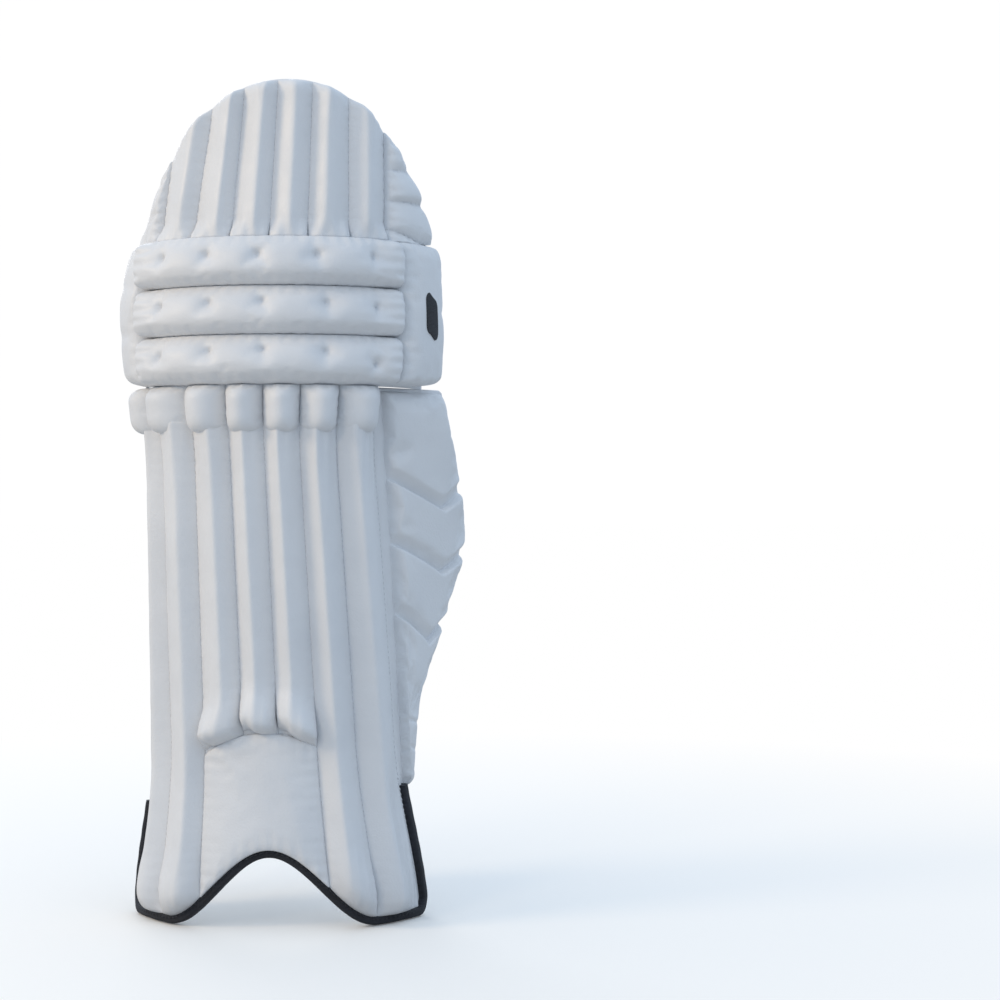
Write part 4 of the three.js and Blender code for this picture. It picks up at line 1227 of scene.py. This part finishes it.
def ring(name, front, rear, height, width):
    """A moulded ring: a round bar bent to a rectangle with soft corners."""
    middle = (front + rear) / 2
    ahead = (front - rear) / np.linalg.norm(front - rear)
    radius = RING_BAR / 2
    half_along, half_up, corner = RING_OPENING / 2 + radius, width / 2 + 0.8 + radius, 3.0
    path = []
    for k, (x, y) in enumerate(((1, 1), (-1, 1), (-1, -1), (1, -1))):
        for turn in np.radians(np.linspace(90 * k, 90 * k + 90, 7)):
            path.append((x * (half_along - corner) + corner * math.cos(turn),
                         y * (half_up - corner) + corner * math.sin(turn)))
    path = resample(np.array(path + path[:1]), 1.5)[:-1]
    points = np.column_stack([middle + path[:, :1] * ahead, height + path[:, 1]])
    step = np.roll(points, -1, axis=0) - np.roll(points, 1, axis=0)
    step /= np.linalg.norm(step, axis=1, keepdims=True)
    flat = np.array([ahead[1], -ahead[0], 0.0])
    side = np.cross(step, flat)
    turn = full_turn(12)[None, :, None]
    rings = points[:, None] + radius * (np.cos(turn) * side[:, None] + np.sin(turn) * flat)
    dress(sweep(f"{name}_ring_moulding", rings, loops=True), PLASTIC, "shin", [f"{name}_ring"])


def box_rows(route, height, width, offset, inset=4.0):
    """A stitched box with a cross in it, on a flat stretch of webbing."""
    route = resample(route, 2.0)
    direction = along(route)
    flat_normal = np.stack([direction[:, 1], -direction[:, 0]], -1)
    base = route + offset * flat_normal
    normal = np.column_stack([math.copysign(1, offset) * flat_normal, np.zeros(len(route))])
    half = width / 2 - inset
    steps = np.linspace(-1, 1, len(route))

    level = np.full(len(route), half)
    lines = (level, -level, half * steps, -half * steps)
    rows = [(np.column_stack([base, height + z]), normal) for z in lines]
    for end in (0, -1):
        z = np.linspace(-half, half, 10)
        points = np.column_stack([np.repeat(base[end][None], 10, 0), height + z])
        rows.append((points, np.repeat(normal[end][None], 10, 0)))
    return rows


def strap(name):
    """A strap's band, fold and tail, its hook and loop patches, its ring and tab, and their stitching."""
    height, width = STRAPS[name]
    face = STRAP_THICKNESS / 2 + 0.1
    band, fold, tail, tab, front, rear = strap_routes(name)
    piece = ribbon(f"{name}_webbing", np.vstack([band[:-1], fold[:9]]), height, width)
    dress(piece, WEBBING, "shin", [f"{name}_strap"])
    bend = np.vstack([fold[7:], tail[:5]])
    turn = ribbon(f"{name}_webbing_fold", bend, height, width - 0.4, STRAP_THICKNESS - 0.1)
    dress(turn, WEBBING)
    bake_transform(turn)
    piece = ribbon(f"{name}_webbing_tail", tail[3:], height, width - 0.2, taper=3.0)
    dress(piece, WEBBING, f"{name}_tail", [f"{name}_strap_tail"])
    hook = ribbon(f"{name}_hook_patch", tail[12:-2], height, width - 5, 0.7, offset=face)
    dress(hook, HOOK, f"{name}_tail")
    start = int(len(band) * 0.62)
    loop = ribbon(f"{name}_loop_patch", band[start:-9], height, width - 4, 0.5, offset=face)
    dress(loop, LOOP, "shin")
    dress(ribbon(f"{name}_tab_webbing", tab, height, width), WEBBING, "shin", [f"{name}_ring_tab"])
    ring(name, front, rear, height, width)
    stitches(f"{name}_strap_stitches", box_rows(band[:12], height, width, -face), "shin")
    rows = box_rows(tail[14:-4][::-1], height, width, face)
    stitches(f"{name}_tail_stitches", rows, f"{name}_tail")


# ======== Tufts and the label ========

def tufts():
    """A knot of thread in the bottom of each dent."""
    rows = []
    for row, angles in enumerate(TUFTS):
        for k, angle in enumerate(angles):
            z = tuft_height(row, k)
            share = (angle - ROLL_LEFT) / (ROLL_RIGHT - ROLL_LEFT)
            up = (z - KNEE_TOP + (row + 1) * ROLL_HEIGHT) / ROLL_HEIGHT
            w = LIP + 0.9 + roll_rise(row, *(np.array(float(value)) for value in (share, up, angle, z)))
            for turn in (0.6, 2.2):
                reach = np.linspace(-2.4, 2.4, 3)
                across = reach * math.cos(turn) / FRONT_ARC
                rows.append(seam_row(angle + across, z + reach * math.sin(turn), w))
    stitches("tuft_knots", rows, "knee_block")


def label():
    """A plain black woven label with rounded corners on the wing side of the knee."""
    s, v = grid(16, 60, 0.6)
    corner = 0.3 * (1 - rounded_end(1 - np.abs(2 * v - 1), 0.4))
    angle = mix(*LABEL_SPAN, mix(corner, 1 - corner, s))
    z = mix(*LABEL_LEVELS, v) + 5 * (1 - s)
    near = (angle - ROLL_RIGHT) / (KNEE_BACK - ROLL_RIGHT)
    w = LIP + knee_side_rise(near, (z - SHIN_TOP) / KNEE_HEIGHT, True) + 2.6
    piece = shell("side_label", pad_points(angle, z, w), pad_points(angle, z, w - 2.2))
    dress(piece, BLACK, "knee_block")


# ======== Studio ========

CAMERA_DISTANCE, CAMERA_AZIMUTH, CAMERA_HEIGHT = 1.7, math.radians(10), 0.346
CAMERA_LENS, CAMERA_PAN = 71.46, math.radians(6.1818)


def camera():
    """Level and a little to the wing side, turned so that the pad is left of the picture's middle."""
    data = bpy.data.cameras.new("camera")
    data.sensor_width = 36
    data.lens = CAMERA_LENS
    data.clip_end = 50
    view = bpy.data.objects.new("camera", data)
    x = LEG_AXIS[0] * MM + CAMERA_DISTANCE * math.sin(CAMERA_AZIMUTH)
    y = LEG_AXIS[1] * MM - CAMERA_DISTANCE * math.cos(CAMERA_AZIMUTH)
    view.location = (x, y, CAMERA_HEIGHT)
    view.rotation_euler = (math.pi / 2, 0, CAMERA_AZIMUTH - CAMERA_PAN)
    scene.collection.objects.link(view)
    scene.camera = view


def area_light(name, position, size, power, colour):
    data = bpy.data.lights.new(name, "AREA")
    data.shape = "DISK"
    data.size = size
    data.energy = power
    data.color = colour
    light = bpy.data.objects.new(name, data)
    light.location = position
    light.rotation_euler = (Vector(LIGHT_TARGET) - Vector(position)).to_track_quat("-Z", "Y").to_euler()
    scene.collection.objects.link(light)


def hide_from_light(surface):
    """The surface is seen, but its glow doesn't light the pad."""
    for sense in ("diffuse", "glossy", "transmission", "volume_scatter", "shadow"):
        setattr(surface, f"visible_{sense}", False)


def staged(name, finish):
    """Names and finishes the surface that was just made."""
    surface = bpy.context.object
    surface.name = name
    surface.data.materials.append(finish)
    return surface


def floor_finish():
    """Pale round the pad and glowing white further out, so that the floor has no far edge."""
    graph = Graph("pale_floor")
    distance = graph.add("ShaderNodeVectorMath", {0: graph.object}, operation="LENGTH").outputs["Value"]
    glow = graph.ramp(distance, *FLOOR_FADE, 0.06, 1.0)
    graph.tree.links.new(glow, graph.shader.inputs["Emission Strength"])
    fading = graph.blend(graph.ramp(distance, *FLOOR_FADE), (0.95, 0.93, 0.89), (0.0, 0.0, 0.0))
    return graph.finish(fading, 0.9, Emission_Color=(1, 1, 1, 1), Specular_IOR_Level=0.0)


def backdrop_finish():
    return Graph("white_backdrop").finish((0, 0, 0), 1.0, Emission_Color=(1, 1, 1, 1), Emission_Strength=1.0)


LIGHT_TARGET = (0, 0, 0.35)
FLOOR_FADE = (0.2, 1.3)  # metres from the pad between which the floor turns white
LIGHTS = [
    ("key", (-2.2, -1.05, 1.45), 0.9, 20, (1.0, 0.75, 0.46)),
    ("front_key", (-1.15, -2.15, 1.45), 0.6, 6, (1.0, 0.78, 0.52)),
    ("back_fill", (-0.9, 2.2, 1.5), 1.4, 12, (1.0, 0.97, 0.94)),
]


def studio():
    """A white room: a floor that fades to white and a backdrop, cool sky light and a warm key."""
    scene.view_settings.view_transform = "Standard"
    bpy.ops.mesh.primitive_plane_add(size=60, location=(0, 0, -0.0005))
    hide_from_light(staged("floor", floor_finish()))
    bpy.ops.mesh.primitive_plane_add(size=60, location=(0, 0, -0.001))
    staged("floor_bounce", Graph("floor_bounce").finish((0.48, 0.47, 0.45), 0.9)).visible_camera = False
    bpy.ops.mesh.primitive_uv_sphere_add(segments=64, ring_count=32, radius=28)
    hide_from_light(staged("backdrop", backdrop_finish()))
    world = bpy.data.worlds.new("studio")
    scene.world = world
    world.use_nodes = True
    background = world.node_tree.nodes["Background"]
    background.inputs["Color"].default_value = (0.68, 0.82, 1.0, 1)
    background.inputs["Strength"].default_value = 0.9
    for light in LIGHTS:
        area_light(*light)


camera()
studio()
boards()
for number in range(7):
    shin_channel(number)
    shin_cane(number)
    knee_cap(number)
instep_panel()
for number in range(3):
    knee_roll(number)
knee_side("knee_side_cover_inside", -KNEE_BACK, ROLL_LEFT, "knee_side_panel_inside", 50)
knee_side("knee_side_cover_wing", ROLL_RIGHT, KNEE_BACK, "knee_side_panel_wing", 51)
for number in range(6):
    hat_channel(number)
hat_side("top_hat_side_cover_inside", "top_hat_side_inside", False, 70)
hat_side("top_hat_side_cover_wing", "top_hat_side_wing", True, 71)
inner_pads()
inside_panel()
calf_wing()
wing_piping()
wing_fold()
bound_edges()
seam_stitches()
gussets()
for strap_name in STRAPS:
    strap(strap_name)
tufts()
label()
